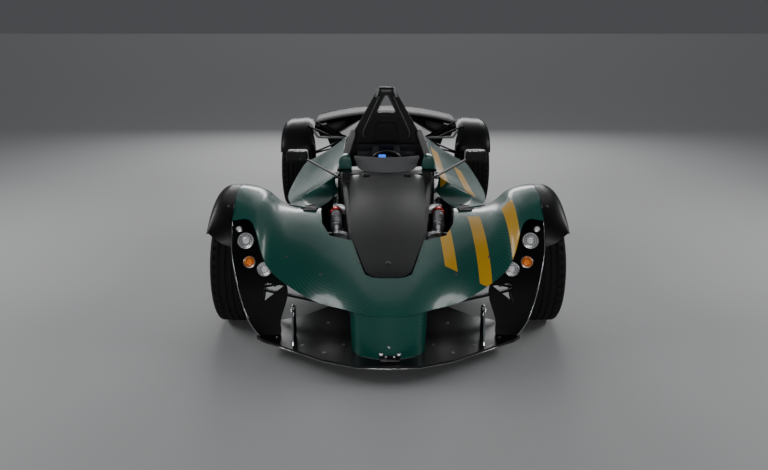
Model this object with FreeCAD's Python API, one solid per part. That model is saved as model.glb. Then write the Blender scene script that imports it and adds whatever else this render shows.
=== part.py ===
"""Open wheel racing car, one seat: built from separate pieces in one frame.

Millimetres, +Z up, the front of the car towards -Y. The origin is on the ground, below the middle of
the car's length and width. Stations along the car are given from the front axle and turned into the
frame by station(); heights are from the ground.
"""
import FreeCAD
import Part
import math
import os

Vec = FreeCAD.Vector

# Driving dimensions of the whole car
WIDTH = 1776.0
HEIGHT = 1110.0
WHEELBASE = 2565.0
FRONT_OVERHANG = 775.0
REAR_OVERHANG = 612.0
LENGTH = FRONT_OVERHANG + WHEELBASE + REAR_OVERHANG

# General clearances and walls
SEAT_GAP = 0.3
WALL = 5.0
FIT = 0.3

# Wheels and tyres, with places inside a wheel measured from its middle plane
RIM_RADIUS = 216.0
RIM_WALL = 6.0
FLANGE_RADIUS = 224.0
FLANGE_WIDTH = 8.0
RIM_INSET = 1.0
FRONT_TYRE_RADIUS = 298.0
FRONT_TYRE_WIDTH = 205.0
FRONT_WHEEL_X = 784.0
REAR_TYRE_RADIUS = 314.0
REAR_TYRE_WIDTH = 245.0
REAR_WHEEL_X = 752.0
TYRE_WALL = 16.0
SHOULDER = 24.0
SPOKES = 10
SPOKE_WIDTH = 20.0
HUB_RADIUS = 62.0
HUB_INNER = 28.0
HUB_OUTER = 52.0
DISC_RADIUS = 148.0
DISC_INNER = -42.0
DISC_OUTER = -18.0
BELL_RADIUS = 78.0
UPRIGHT_INNER = -88.0
UPRIGHT_OUTER = -53.0
STUB_RADIUS = 24.0

# Steering
KINGPIN_X = 714.0
PIN_RADIUS = 12.0
UPPER_BALL_Z = 433.0
LOWER_BALL_Z = 162.0
BALL_HEIGHT = 24.0
TIE_ROD_Y = -106.0
TIE_ROD_Z = 250.0
TIE_ROD_RADIUS = 8.0
EYE_RADIUS = 25.0
RACK_HALF = KINGPIN_X + 3.0
COLUMN_Y = 1000.0
COLUMN_Z = 612.0
COLUMN_TILT = 14.0
GRIP_RADIUS = 122.0

# Floor, splitter and nose
FLOOR_BOTTOM = 70.0
FLOOR_THICKNESS = 15.0
FLOOR_TOP = FLOOR_BOTTOM + FLOOR_THICKNESS
FLOOR_FRONT = -60.0
FLOOR_REAR = WHEELBASE - 235.0
FOOT = FLOOR_TOP + SEAT_GAP
FENCE_X = 446.0
NOSE_HALF_WIDTH = 180.0
SEAM_X = 765.0
HATCH_GAP = 6.0
HATCH_REAR = 656.0
HATCH_PIN_Y = 668.0
HATCH_PIN_Z = 643.0
HATCH_PIN_RADIUS = 4.0
HATCH_LUG_RADIUS = 8.0

# Cockpit, tub and roll hoop
TUB_WALL = 20.0
TUB_REAR = 1460.0
COWL_REAR = 798.0
HOOP_DEPTH = 56.0
HOOP_SHOULDER_X = 228.0
HOOP_FOOT_X = 262.0
HOOP_FOOT_Z = 712.3
STAY_CHORD = 54.0
STAY_DEPTH = 22.0

# Rear frame
RAIL_X = 330.0
RAIL_RADIUS = 18.0
RAIL_LOW = 112.0
RAIL_HIGH = 560.0
POST_RADIUS = 14.0
STRUT_RADIUS = 10.0
ENGINE_FRONT = TUB_REAR + 85.0
ENGINE_REAR = ENGINE_FRONT + 415.0
GEARBOX_REAR = WHEELBASE + 125.0
GEARBOX_BOTTOM = 150.0
PIPE_X = 70.0
PIPE_Z = 440.0
PIPE_RADIUS = 38.0
PIPE_WALL = 4.0
TAIL = WHEELBASE + REAR_OVERHANG
TAIL_PANEL = TAIL - 137.0
TAIL_PANEL_WALL = 8.0
TOW_EYE_Y = TAIL_PANEL + 42.0
TOW_EYE_Z = 290.0
TOW_EYE_RADIUS = 14.0
TOW_EYE_WALL = 12.0

FRONT_AXLE = -LENGTH / 2 + FRONT_OVERHANG
REAR_AXLE = WHEELBASE

# Front bodywork stations from the middle outwards: x, then (y, z) from the leading edge over the
# crown to the trailing edge
SHELL_STATIONS = [
    (0, [(-735, 305), (-625, 356), (-410, 428), (-130, 502), (200, 570)]),
    (100, [(-715, 303), (-610, 353), (-400, 425), (-130, 500), (200, 568)]),
    (190, [(-640, 297), (-550, 342), (-370, 412), (-120, 490), (200, 558)]),
    (320, [(-500, 272), (-420, 338), (-270, 425), (-70, 500), (200, 550)]),
    (450, [(-400, 300), (-335, 375), (-210, 463), (-40, 530), (210, 553)]),
    (533, [(-370, 351), (-310, 420), (-190, 500), (-30, 555), (200, 567)]),
    (591, [(-340, 411), (-280, 475), (-170, 552), (-20, 602), (190, 606)]),
    (628, [(-300, 514), (-250, 556), (-155, 608), (-20, 648), (185, 642)]),
    (665, [(-250, 598), (-205, 624), (-130, 657), (-10, 683), (180, 669)]),
    (715, [(-238, 612), (-190, 645), (-110, 684), (0, 706), (175, 688)]),
    (SEAM_X, [(-235, 608), (-180, 650), (-100, 692), (0, 713), (170, 698)]),
]

# Front arch caps: x, then (y, z) from the front lower edge over the crown to the rear edge
CAP_STATIONS = [
    (SEAM_X - 10, [(-287, 474), (-237, 606), (-105, 691), (0, 713), (168, 699), (275, 600)]),
    (FRONT_WHEEL_X + 25, [(-292, 500), (-242, 606), (-110, 690), (0, 711), (166, 696), (276, 598)]),
    (FRONT_WHEEL_X + 66, [(-288, 528), (-240, 598), (-110, 680), (0, 701), (164, 687), (273, 590)]),
    (FRONT_WHEEL_X + 92, [(-278, 548), (-234, 588), (-108, 655), (0, 676), (160, 664), (268, 580)]),
    (WIDTH / 2, [(-262, 540), (-226, 565), (-104, 615), (0, 634), (155, 625), (260, 560)]),
]

# Rear arches: x, then (y, z) with y from the rear axle
REAR_ARCH_STATIONS = [
    (REAR_WHEEL_X - 148, [(-273, 500), (-230, 612), (-115, 690), (35, 712), (195, 692), (325, 600)]),
    (REAR_WHEEL_X - 118, [(-281, 512), (-235, 634), (-115, 713), (35, 738), (195, 714), (327, 612)]),
    (REAR_WHEEL_X + 2, [(-285, 515), (-235, 640), (-115, 718), (35, 744), (195, 718), (328, 614)]),
    (REAR_WHEEL_X + 92, [(-283, 513), (-233, 628), (-115, 702), (35, 726), (195, 702), (325, 604)]),
    (REAR_WHEEL_X + 124, [(-273, 500), (-223, 600), (-110, 664), (35, 684), (190, 664), (315, 580)]),
]

def bay(share):
    """A station in the engine bay: 0 at the tub's rear, 1 at the floor's rear end."""
    return TUB_REAR + share * (FLOOR_REAR - TUB_REAR)


# Side pods: station, then the cockpit rim, the sharp outer edge and the foot as (x, z)
POD_STATIONS = [
    (470, (500, 548), (560, 512), (400, FOOT)),
    (600, (452, 566), (594, 497), (424, FOOT)),
    (700, (372, 594), (612, 490), (438, FOOT)),
    (790, (318, 617), (623, 487), (452, FOOT)),
    (980, (298.5, 646), (636, 482), (486, FOOT)),
    (1240, (297.5, 682), (640, 482), (515, FOOT)),
    (1460, (296.3, 712), (638, 486), (528, FOOT)),
    (bay(0.25), (296.3, 716), (630, 494), (515, FOOT)),
    (bay(0.48), (296.3, 704), (612, 503), (480, FOOT)),
]

# The pod's front tip behind the front bodywork, in the same form
POD_TIP = (216, (452, 556), (548, 569), (478, 470))

# The lower edge of the scooped face between the pod's rim and the tub: station, then (x, z)
SCOOP_FOOT = [(330, (430, 512)), (440, (398, 498)), (575, (352, 500)), (680, (320, 516)), (765, (303, 534))]

# Engine cover: station, then half a section from the middle outwards as (x, z)
COVER_STATIONS = [
    (TUB_REAR + SEAT_GAP, [(0, 850), (70, 842), (140, 800), (210, 742), (262, 690)]),
    (bay(0.28), [(0, 856), (65, 847), (130, 800), (205, 738), (262, 700)]),
    (bay(0.62), [(0, 846), (62, 837), (125, 790), (215, 728), (300, 680)]),
    (bay(0.965), [(0, 826), (62, 818), (130, 777), (235, 716), (360, 655)]),
    (bay(1.31), [(0, 802), (70, 796), (150, 766), (280, 710), (420, 640)]),
]

# Lamp panels: height, then the inner edge and the outer edge as (x, y)
LAMP_PANEL_ROWS = [
    (FOOT, (520, -434), (622, -450)),
    (130, (520, -419), (664, -430)),
    (200, (505, -395), (696, -402)),
    (300, (490, -361), (728, -368)),
    (400, (560, -318), (753, -325)),
    (470, (600, -280), (764.5, -290)),
    (540, (630, -235), (764.5, -262)),
    (600, (650, -190), (764.5, -222)),
]

# Lamps: place on the panel and radius
LAMP_TILT = 30.0
HEADLAMPS = [((698, -263, 506), 41), ((602, -326, 381), 36), ((730, -247, 561), 15)]
INDICATORS = [((676, -312, 412), 30)]


def station(y):
    """A distance from the front axle as a place in the frame."""
    return FRONT_AXLE + y


def point(x, y, z):
    """A point whose y is a station."""
    return Vec(x, station(y), z)


def mirrored(shape):
    """The same piece on the other side of the car."""
    return shape.mirror(Vec(0, 0, 0), Vec(1, 0, 0))


def both(shape):
    """A piece and its mirror image as solids of one node."""
    return Part.makeCompound([shape, mirrored(shape)])


def joined(shapes):
    """One solid from overlapping shapes."""
    return shapes[0].fuse(shapes[1:]).removeSplitter()


def largest(shape):
    """The largest solid of a shape."""
    return max(shape.Solids, key=lambda solid: solid.Volume)


def coped(shapes, seats):
    """Shapes that meet face to face: each is cut by its seats and by those before it."""
    fitted = []
    for shape in shapes:
        for other in list(seats) + fitted:
            shape = shape.cut(other)
        fitted.append(largest(shape))
    return fitted


def box(x0, x1, y0, y1, z0, z1):
    """A block between two corners; y0 and y1 are stations."""
    return Part.makeBox(x1 - x0, y1 - y0, z1 - z0, point(x0, y0, z0))


def rod(start, end, radius):
    """A round bar from one point to another."""
    line = end - start
    return Part.makeCylinder(radius, line.Length, start, line)


def pipe(points, radius):
    """A round bar through several points, with round corners."""
    parts = [rod(a, b, radius) for a, b in zip(points, points[1:])]
    parts += [Part.makeSphere(radius, p) for p in points[1:-1]]
    return joined(parts)


def blade(start, end, chord, thickness):
    """A flattened bar with round edges, its long axis level, drawn from start to end."""
    line = end - start
    across = line.cross(Vec(0, 0, 1)).normalize()
    rise = line.cross(across).normalize() * (thickness / 2)
    side = across * (chord / 2 - thickness / 2)
    nose = across * (chord / 2)
    edges = [
        Part.LineSegment(start - side + rise, start + side + rise).toShape(),
        Part.Arc(start + side + rise, start + nose, start + side - rise).toShape(),
        Part.LineSegment(start + side - rise, start - side - rise).toShape(),
        Part.Arc(start - side - rise, start - nose, start - side + rise).toShape(),
    ]
    return Part.Face(Part.Wire(edges)).extrude(line)


def polygon(points):
    """A closed wire through points."""
    return Part.makePolygon(list(points) + [points[0]])


def slab(outline, z0, z1):
    """A flat plate with an outline of (x, y) stations, between two heights."""
    return Part.Face(polygon([point(x, y, z0) for x, y in outline])).extrude(Vec(0, 0, z1 - z0))


def wall(outline, y0, y1):
    """An upright plate across the car with an outline of (x, z), between two stations."""
    return Part.Face(polygon([point(x, y0, z) for x, z in outline])).extrude(Vec(0, y1 - y0, 0))


def side_plate(outline, x0, x1):
    """An upright plate along the car with an outline of (y, z), between two x."""
    return Part.Face(polygon([point(x0, y, z) for y, z in outline])).extrude(Vec(x1 - x0, 0, 0))


def symmetric(outline):
    """An outline given on the +X side, closed over the middle."""
    return outline + [(-x, y) for x, y in reversed(outline) if x > 0]


def skin(grid):
    """A smooth surface through a grid of points."""
    surface = Part.BSplineSurface()
    surface.interpolate(grid)
    return surface


def behind(grid, distance):
    """The grid moved square to its own surface."""
    surface = skin(grid)
    moved = []
    for row in grid:
        line = []
        for p in row:
            u, v = surface.parameter(p)
            line.append(p - surface.normal(u, v) * distance)
        moved.append(line)
    return moved


def between(front, back):
    """The closed solid between two grids of the same size."""
    faces = [skin(front).toShape(), skin(back).toShape()]
    walls = [Part.makeRuledSurface(a, b) for a, b in zip(faces[0].Edges, faces[1].Edges)]
    shell = Part.makeShell(faces + walls)
    shell.sewShape()
    solid = Part.makeSolid(shell)
    if solid.Volume < 0:
        solid.reverse()
    return solid


def panel(grid, thickness):
    """A curved panel with its outer face on the grid."""
    return between(grid, behind(grid, thickness))


def rows(stations, origin=0):
    """A grid of points from stations of x and (y, z), with y from an origin."""
    return [[point(x, origin + y, z) for y, z in points] for x, points in stations]


def offset(points, distance):
    """A line of (x, z) points moved sideways, with square corners kept."""
    moved = []
    for i, (x, z) in enumerate(points):
        ax, az = points[max(i - 1, 0)]
        bx, bz = points[min(i + 1, len(points) - 1)]
        normals = []
        for sx, sz, ex, ez in ((ax, az, x, z), (x, z, bx, bz)):
            size = math.hypot(ex - sx, ez - sz)
            if size > 0:
                normals.append(((ez - sz) / size, -(ex - sx) / size))
        nx = sum(n[0] for n in normals) / len(normals)
        nz = sum(n[1] for n in normals) / len(normals)
        stretch = distance / (nx * nx + nz * nz)
        moved.append((x + nx * stretch, z + nz * stretch))
    return moved


def spline(points):
    """A smooth edge through points, straight through two."""
    if len(points) == 2:
        return Part.LineSegment(points[0], points[1]).toShape()
    curve = Part.BSplineCurve()
    curve.interpolate(points)
    return curve.toShape()


def strip(y, points, folds, thickness):
    """The closed outline of a bent wall across the car, sharp at its folds."""
    outer = [point(x, y, z) for x, z in points]
    inner = [point(x, y, z) for x, z in offset(points, thickness)]
    marks = [0] + folds + [len(points) - 1]
    edges = [spline(outer[a:b + 1]) for a, b in zip(marks, marks[1:])]
    edges.append(spline([outer[-1], inner[-1]]))
    edges += [spline(inner[a:b + 1][::-1]) for a, b in reversed(list(zip(marks, marks[1:])))]
    edges.append(spline([inner[0], outer[0]]))
    return Part.Wire(edges)


def loft(sections, ruled=True):
    """A solid through closed wires."""
    return Part.makeLoft(sections, True, ruled)


def turned(profile, middle):
    """A ring about the wheel's axle: profile of (x from the middle plane, radius)."""
    x, y, z = middle
    ring = polygon([Vec(x + a, y, z + r) for a, r in profile])
    return Part.Face(ring).revolve(Vec(x, y, z), Vec(1, 0, 0), 360)


def along_x(x0, x1, y, z, radius):
    """A cylinder across the car; y is a station."""
    return Part.makeCylinder(radius, x1 - x0, point(x0, y, z), Vec(1, 0, 0))


# Front bodywork

def shell_grid():
    """The front bodywork's outer surface, from one seam to the other."""
    half = rows(SHELL_STATIONS)
    other = [[Vec(-p.x, p.y, p.z) for p in row] for row in half[:0:-1]]
    return other + half


def above_shell():
    """All that lies above the underside of the front bodywork, less the seat gap."""
    low = behind(shell_grid(), WALL + SEAT_GAP)
    high = [[p + Vec(0, -40, 500) for p in row] for row in low]
    return between(low, high)


def hatch_outline(grow):
    """The hatch seen from above, widened by grow."""
    return symmetric([
        (0, -500 - grow), (40, -499 - grow), (78, -487 - grow), (104 + grow, -458 - grow),
        (118 + grow, -410), (190 + grow, -110),
        (226 + grow, HATCH_REAR + grow), (0, HATCH_REAR + grow),
    ])


def bay_outline():
    """A damper bay seen from above, on the +X side."""
    return [(180, -165), (300, -105), (345, 0), (385, 400), (180, 400)]


def nose_shell():
    """The front clamshell, from the nose over both wheels, open for the hatch and the bays."""
    shell = panel(shell_grid(), WALL).common(box(-SEAM_X, SEAM_X, -900, 400, 0, 900))
    notch = slab([(382, 152), (474, 152), (480, 300), (376, 300)], 400, 900)
    shell = shell.cut(notch).cut(mirrored(notch))
    shell = shell.cut(slab(hatch_outline(HATCH_GAP), 200, 900))
    bay = slab(bay_outline(), 200, 900)
    return shell.cut(bay).cut(mirrored(bay))


def nose_ring(z, inset, rear):
    """A level outline of the lower nose."""
    half = [
        (0, -724 + inset), (95 - inset * 0.5, -702 + inset), (160 - inset, -648 + inset),
        (NOSE_HALF_WIDTH - inset, -560), (NOSE_HALF_WIDTH - inset, rear),
    ]
    points = [point(x, y, z) for x, y in half]
    full = [Vec(-p.x, p.y, p.z) for p in reversed(points[1:])] + points
    return Part.Wire([spline(full), Part.LineSegment(full[-1], full[0]).toShape()])


def nose_cone():
    """The blunt lower nose, open at the back."""
    outer = loft([nose_ring(FOOT, 8, -370), nose_ring(420, -3, -370)])
    inner = loft([nose_ring(FOOT - 1, 8 + WALL, -350), nose_ring(421, -3 + WALL, -350)])
    return outer.cut(inner).cut(above_shell())


def hatch_height(x, y):
    """The height of the hatch's outer face."""
    stations = [(-520, 391), (-410, 428), (-130, 502), (200, 572), (450, 618), (680, 656)]
    for (y0, z0), (y1, z1) in zip(stations, stations[1:]):
        if y <= y1:
            break
    return z0 + (z1 - z0) * (y - y0) / (y1 - y0) - 9 * (x / 190.0) ** 2


def hatch_lid():
    """The hatch over the pedals, on two hinge lugs at its rear edge."""
    xs = (-250, -125, 0, 125, 250)
    ys = (-520, -410, -270, -130, 200, 450, 680)
    grid = [[point(x, y, hatch_height(x, y)) for y in ys] for x in xs]
    lid = panel(grid, WALL).common(slab(hatch_outline(0), 200, 900))
    lug = side_plate([(640, 644), (655, 648), (HATCH_PIN_Y, 651), (HATCH_PIN_Y, 635), (640, 636)], 118, 134)
    lug = lug.fuse(along_x(118, 134, HATCH_PIN_Y, HATCH_PIN_Z, HATCH_LUG_RADIUS))
    lug = lug.cut(along_x(110, 140, HATCH_PIN_Y, HATCH_PIN_Z, HATCH_PIN_RADIUS + FIT))
    return joined([lid, lug, mirrored(lug)])


def front_arch():
    """A cap over the front wheel."""
    return panel(rows(CAP_STATIONS), WALL).cut(box(0, SEAM_X + SEAT_GAP, -500, 500, 0, 900))


def lamp_direction():
    """The way the lamps look: forwards and a little up."""
    tilt = math.radians(LAMP_TILT)
    return Vec(0, -math.cos(tilt), math.sin(tilt))


def lamp_barrel(place, radius, rear, front):
    """A cylinder on a lamp's axis, from rear to front of the panel's face."""
    way = lamp_direction()
    return Part.makeCylinder(radius, rear + front, point(*place) - way * rear, way)


def lamp_panel():
    """The dark vane ahead of the wheel, with round holes for the lamps."""
    grid = []
    for z, inner, outer in LAMP_PANEL_ROWS:
        steps = [0.0, 0.35, 0.7, 1.0]
        line = [point(inner[0] + (outer[0] - inner[0]) * s, inner[1] + (outer[1] - inner[1]) * s, z) for s in steps]
        grid.append(line)
    vane = panel(grid, -WALL)
    vane = vane.cut(above_shell()).cut(box(0, 900, -600, 0, 0, FOOT)).cut(box(SEAM_X, 900, -600, 0, 0, 900))
    vane = vane.cut(wall([(507, 306), (600, 322), (606, 233)], -500, -200))
    for place, radius in HEADLAMPS + INDICATORS:
        vane = vane.cut(lamp_barrel(place, radius + SEAT_GAP, 60, 60))
    return vane


def lamp(place, radius):
    """A lamp's body with a shallow dome in front."""
    body = lamp_barrel(place, radius, 11, 7)
    way = lamp_direction()
    reach = radius * 2.2
    dome = Part.makeSphere(reach, point(*place) + way * (14 - reach))
    return body.fuse(lamp_barrel(place, radius, 0, 30).common(dome)).removeSplitter()


def headlamps():
    """The three clear lamps of each side."""
    lamps = [lamp(place, radius).cut(above_shell()) for place, radius in HEADLAMPS]
    return Part.makeCompound(lamps + [mirrored(shape) for shape in lamps])


def indicators():
    """The turn lamps of both sides."""
    lamps = [lamp(place, radius) for place, radius in INDICATORS]
    return Part.makeCompound(lamps + [mirrored(shape) for shape in lamps])


# Floor and tub

def floor_pan():
    """The flat floor between the axles."""
    return slab(symmetric([
        (0, FLOOR_FRONT), (300, FLOOR_FRONT), (300, 330), (400, 620), (500, 950), (545, 1460),
        (530, bay(0.47)), (420, bay(0.63)), (420, FLOOR_REAR), (0, FLOOR_REAR),
    ]), FLOOR_BOTTOM, FLOOR_TOP)


def front_splitter():
    """The splitter with its two upright fences."""
    end = FLOOR_FRONT - SEAT_GAP
    plate = slab(symmetric([
        (0, -FRONT_OVERHANG), (140, -768), (290, -706), (450, -596), (600, -490), (634, -450), (610, -300),
        (430, -200), (300, end), (0, end),
    ]), FLOOR_BOTTOM, FLOOR_TOP)
    fence = side_plate([(-560, 80), (-515, 224), (-498, 238), (-446, 238), (-446, 80)], FENCE_X - 2.5, FENCE_X + 2.5)
    return joined([plate, fence, mirrored(fence)])


TUB_STATIONS = [
    (-560, 128, 290), (-330, 158, 380), (0, 205, 478), (660, 270, 592), (760, 296, 618),
    (TUB_REAR, 296, 712),
]


def tub_section(y, half, top, inset):
    """An upright section of the tub, moved in by inset."""
    w, z0, z1, c = half - inset, FOOT + inset, top - inset, 34
    outline = [(w - c, z0), (w, z0 + c), (w, z1 - c * 0.4), (w - c * 0.6, z1)]
    outline += [(-x, z) for x, z in reversed(outline)]
    return polygon([point(x, y, z) for x, z in outline])


def tub_block(grow=0):
    """The tub's outer form, solid, grown a little for what seats on it."""
    return loft([tub_section(y, w, z, -grow) for y, w, z in TUB_STATIONS])


def tub():
    """The hollow tub, open above the seat, with a cross tube that guides the steering rack."""
    inner = [list(s) for s in TUB_STATIONS]
    inner[0][0] += TUB_WALL
    inner[-1][0] -= 30
    cavity = loft([tub_section(y, w, z, TUB_WALL) for y, w, z in inner])
    shell = tub_block().cut(cavity)
    opening = symmetric([(0, COWL_REAR), (236, COWL_REAR), (254, 900), (264, 1400), (250, TUB_REAR - 30), (0, TUB_REAR - 30)])
    shell = shell.cut(slab(opening, 400, 900))
    guide = along_x(-180, 180, TIE_ROD_Y, TIE_ROD_Z, 22)
    bore = along_x(-400, 400, TIE_ROD_Y, TIE_ROD_Z, TIE_ROD_RADIUS + FIT)
    return shell.fuse(guide).cut(bore).removeSplitter()


def scuttle():
    """The cowl between the hatch and the cockpit, with the pins the hatch turns on."""
    outer = side_plate([(682, 594), (682, 649), (740, 662), (COWL_REAR, 668), (COWL_REAR, 631), (762, 615)], -272, 272)
    inner = side_plate([(688, 560), (688, 643), (742, 656), (792, 662), (792, 600)], -266, 266)
    cover = outer.cut(inner).cut(tub_block())
    ear = box(141, 150, HATCH_PIN_Y - 7, 683, HATCH_PIN_Z - 7, HATCH_PIN_Z + 5)
    pin = along_x(112, 150, HATCH_PIN_Y, HATCH_PIN_Z, HATCH_PIN_RADIUS)
    hinge = ear.fuse(pin)
    return joined([cover, hinge, mirrored(hinge)])


def windscreen():
    """The low tinted screen."""
    grid = []
    for z, y, half in ((645, 683, 165), (695, 738, 193), (742, 800, 213)):
        line = []
        for s in (-1.0, -0.5, 0.0, 0.5, 1.0):
            line.append(point(half * s, y + 26 * s * s, z + 6 * s * s))
        grid.append(line)
    screen = panel(grid, -4).cut(scuttle())
    return largest(screen)


def dashboard():
    """The dash below the cowl, bored for the steering column."""
    front = COWL_REAR + SEAT_GAP
    block = side_plate([(front, 560), (front, 660), (835, 664), (862, 640), (850, 560)], -232, 232)
    hollow = side_plate([(790, 568), (790, 652), (830, 656), (852, 636), (842, 568)], -224, 224)
    return block.cut(hollow).cut(column(STUB_RADIUS + FIT, -400, 400))


def column(radius, start, end):
    """A cylinder on the steering column's axis, with places measured from the wheel's middle."""
    tilt = math.radians(COLUMN_TILT)
    way = Vec(0, math.cos(tilt), math.sin(tilt))
    return Part.makeCylinder(radius, end - start, point(0, COLUMN_Y, COLUMN_Z) + way * start, way)


def steering_wheel():
    """The steering wheel on its column: a grip with a flat foot, three spokes and a hub."""
    tilt = math.radians(COLUMN_TILT)
    way = Vec(0, math.cos(tilt), math.sin(tilt))
    middle = point(0, COLUMN_Y, COLUMN_Z)
    profile = [(13, 5), (5, 13), (-5, 13), (-13, 5), (-13, -5), (-5, -13), (5, -13), (13, -5)]
    ring = polygon([middle + Vec(GRIP_RADIUS + a, 0, 0) + way * b for a, b in profile])
    grip = Part.Face(ring).revolve(middle, way, 360)
    arms = [box(-GRIP_RADIUS, GRIP_RADIUS, COLUMN_Y - 5, COLUMN_Y + 5, COLUMN_Z - 17, COLUMN_Z + 17)]
    arms.append(box(-15, 15, COLUMN_Y - 5, COLUMN_Y + 5, COLUMN_Z - GRIP_RADIUS, COLUMN_Z))
    for arm in arms:
        arm.rotate(middle, Vec(1, 0, 0), COLUMN_TILT)
    return joined([grip, column(44, -12, 12), column(STUB_RADIUS, -175, 0)] + arms)


def seat():
    """The seat's shell: a pan, an inclined back and two sides."""
    profile = [(1010, 150), (1250, 120), (1330, 150), (1408, 430), (1427, 660), (1407, 662), (1386, 440), (1312, 168), (1248, 140), (1012, 170)]
    pan = side_plate(profile, -205, 205)
    cheek = side_plate([(1000, 145), (1250, FOOT + TUB_WALL + 0.3), (1340, FOOT + TUB_WALL + 0.3), (1420, 430), (1427, 560), (1330, 520), (1230, 260), (1020, 230)], 205, 215)
    return joined([pan, cheek, mirrored(cheek)])


def steering_rack():
    """The rack and both track rods in one straight bar."""
    return along_x(-RACK_HALF, RACK_HALF, TIE_ROD_Y, TIE_ROD_Z, TIE_ROD_RADIUS)


# Roll hoop

def hoop_outline(points):
    """An outline of (x, z) on the +X side, closed over the middle."""
    return points + [(-x, z) for x, z in reversed(points) if x > 0]


def hoop_level(share):
    """A height on the roll hoop: 0 at its foot, 1 at its apex."""
    return HOOP_FOOT_Z + share * (HEIGHT - HOOP_FOOT_Z)


def hoop_opening(y0, y1):
    """The opening below the hoop's cross bar, between two stations."""
    return wall(hoop_outline([
        (0, hoop_level(0.49)), (84, hoop_level(0.49)), (168, hoop_level(0.17)), (196, HOOP_FOOT_Z), (0, HOOP_FOOT_Z),
    ]), y0, y1)


def roll_hoop():
    """The roll hoop: an A-shaped frame with a window below its apex, a cross bar and two stays."""
    front, back = TUB_REAR - HOOP_DEPTH, TUB_REAR
    shoulder = hoop_level(0.226)
    frame = wall(hoop_outline([
        (0, HEIGHT), (44, HEIGHT), (60, hoop_level(0.965)), (HOOP_SHOULDER_X, shoulder), (HOOP_FOOT_X, HOOP_FOOT_Z),
    ]), front, back)
    window = wall(hoop_outline([
        (0, hoop_level(0.874)), (16, hoop_level(0.845)), (66, hoop_level(0.583)), (56, hoop_level(0.558)),
        (0, hoop_level(0.558)),
    ]), front - 5, back + 5)
    edges = [e for e in frame.Edges if abs(e.CenterOfMass.y - station(front)) < 1 and e.CenterOfMass.z > HOOP_FOOT_Z + 1]
    frame = frame.makeFillet(9, edges).cut(window).cut(hoop_opening(front - 5, back + 5))
    stay = blade(point(HOOP_SHOULDER_X - 2, TUB_REAR - 30, shoulder), point(288, 830, 640), STAY_CHORD, STAY_DEPTH)
    hoop = joined([frame, stay, mirrored(stay)])
    pod = side_pod()
    return largest(hoop.cut(tub_block()).cut(pod).cut(mirrored(pod)))


def hoop_panel():
    """The upright panel that fills the lower part of the hoop."""
    return hoop_opening(TUB_REAR - 10, TUB_REAR).cut(roll_hoop())


def headrest():
    """The pad behind the driver's head."""
    back = TUB_REAR - 10 - SEAT_GAP
    foot, top = HOOP_FOOT_Z + 10, hoop_level(0.39)
    outline = [(0, foot), (88, foot), (96, foot + 18), (66, hoop_level(0.366)), (54, top), (0, top)]
    block = wall(hoop_outline(outline), back - 46, back)
    edges = [e for e in block.Edges if abs(e.CenterOfMass.y - station(back)) > 1]
    return block.makeFillet(13, edges)


# Side and rear bodywork

def pod_section(y, rim, edge, foot):
    """A section of the side pod's wall: rim, sharp edge and foot, bent at the edge."""
    dx, dz = edge[0] - rim[0], edge[1] - rim[1]
    rise = edge[1] - foot[1]
    line = [rim, (rim[0] + dx * 0.3, rim[1] + dz * 0.36), (rim[0] + dx * 0.65, rim[1] + dz * 0.72), edge]
    line += [(foot[0] + (edge[0] - foot[0]) * 0.52, foot[1] + rise * 0.66), (foot[0] + 12, foot[1] + rise * 0.286), foot]
    return strip(y, line, [3], WALL)


def pod_wall():
    """The side pod's hollow wall, from the cockpit rim over the sharp edge down to the floor."""
    return loft([pod_section(*pod_station) for pod_station in POD_STATIONS], False)


def pod_scoop():
    """The hollow face that falls from the pod's rim towards the tub, ahead of the cockpit."""
    share = (SCOOP_FOOT[0][0] - POD_TIP[0]) / (POD_STATIONS[0][0] - POD_TIP[0])
    first = [a + (b - a) * share for a, b in zip(POD_TIP[1], POD_STATIONS[0][1])]
    rims = [(SCOOP_FOOT[0][0], first)] + [(pod_station[0], pod_station[1]) for pod_station in POD_STATIONS[:4]]
    grid = []
    for (rim_y, rim), (foot_y, foot) in zip(rims, SCOOP_FOOT):
        top = point(rim[0] + WALL, rim_y, rim[1] - WALL)
        low = point(foot[0], foot_y, foot[1])
        grid.append([top, (top + low) / 2 + Vec(8, 0, -8), low])
    return panel(grid, WALL)


def side_pod():
    """A side pod with its tip, which sweeps forward to the front bodywork, and its scooped face."""
    tip = loft([pod_section(*POD_TIP), pod_section(*POD_STATIONS[0])])
    return joined([pod_wall(), tip, pod_scoop()])


def engine_cover():
    """The spine over the engine."""
    sections = []
    for y, half in COVER_STATIONS:
        line = [(-x, z) for x, z in half[:0:-1]] + half
        sections.append(strip(y, line, [], WALL))
    return loft(sections, False)


def rear_arch():
    """A cap over the rear wheel."""
    return panel(rows(REAR_ARCH_STATIONS, REAR_AXLE), WALL)


def rear_wing():
    """The arched deck over the tail, like a low wing."""
    chord = (
        (REAR_AXLE + 85, 782), (REAR_AXLE + 155, 806), (REAR_AXLE + 235, 813), (TAIL - 217, 808), (TAIL - 57, 800),
    )
    grid = []
    half = REAR_WHEEL_X - 148 - SEAT_GAP
    for share in (-1.0, -0.74, -0.38, 0.0, 0.38, 0.74, 1.0):
        grid.append([point(half * share, y, z - 78 * share ** 2) for y, z in chord])
    return panel(grid, 26)


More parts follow.
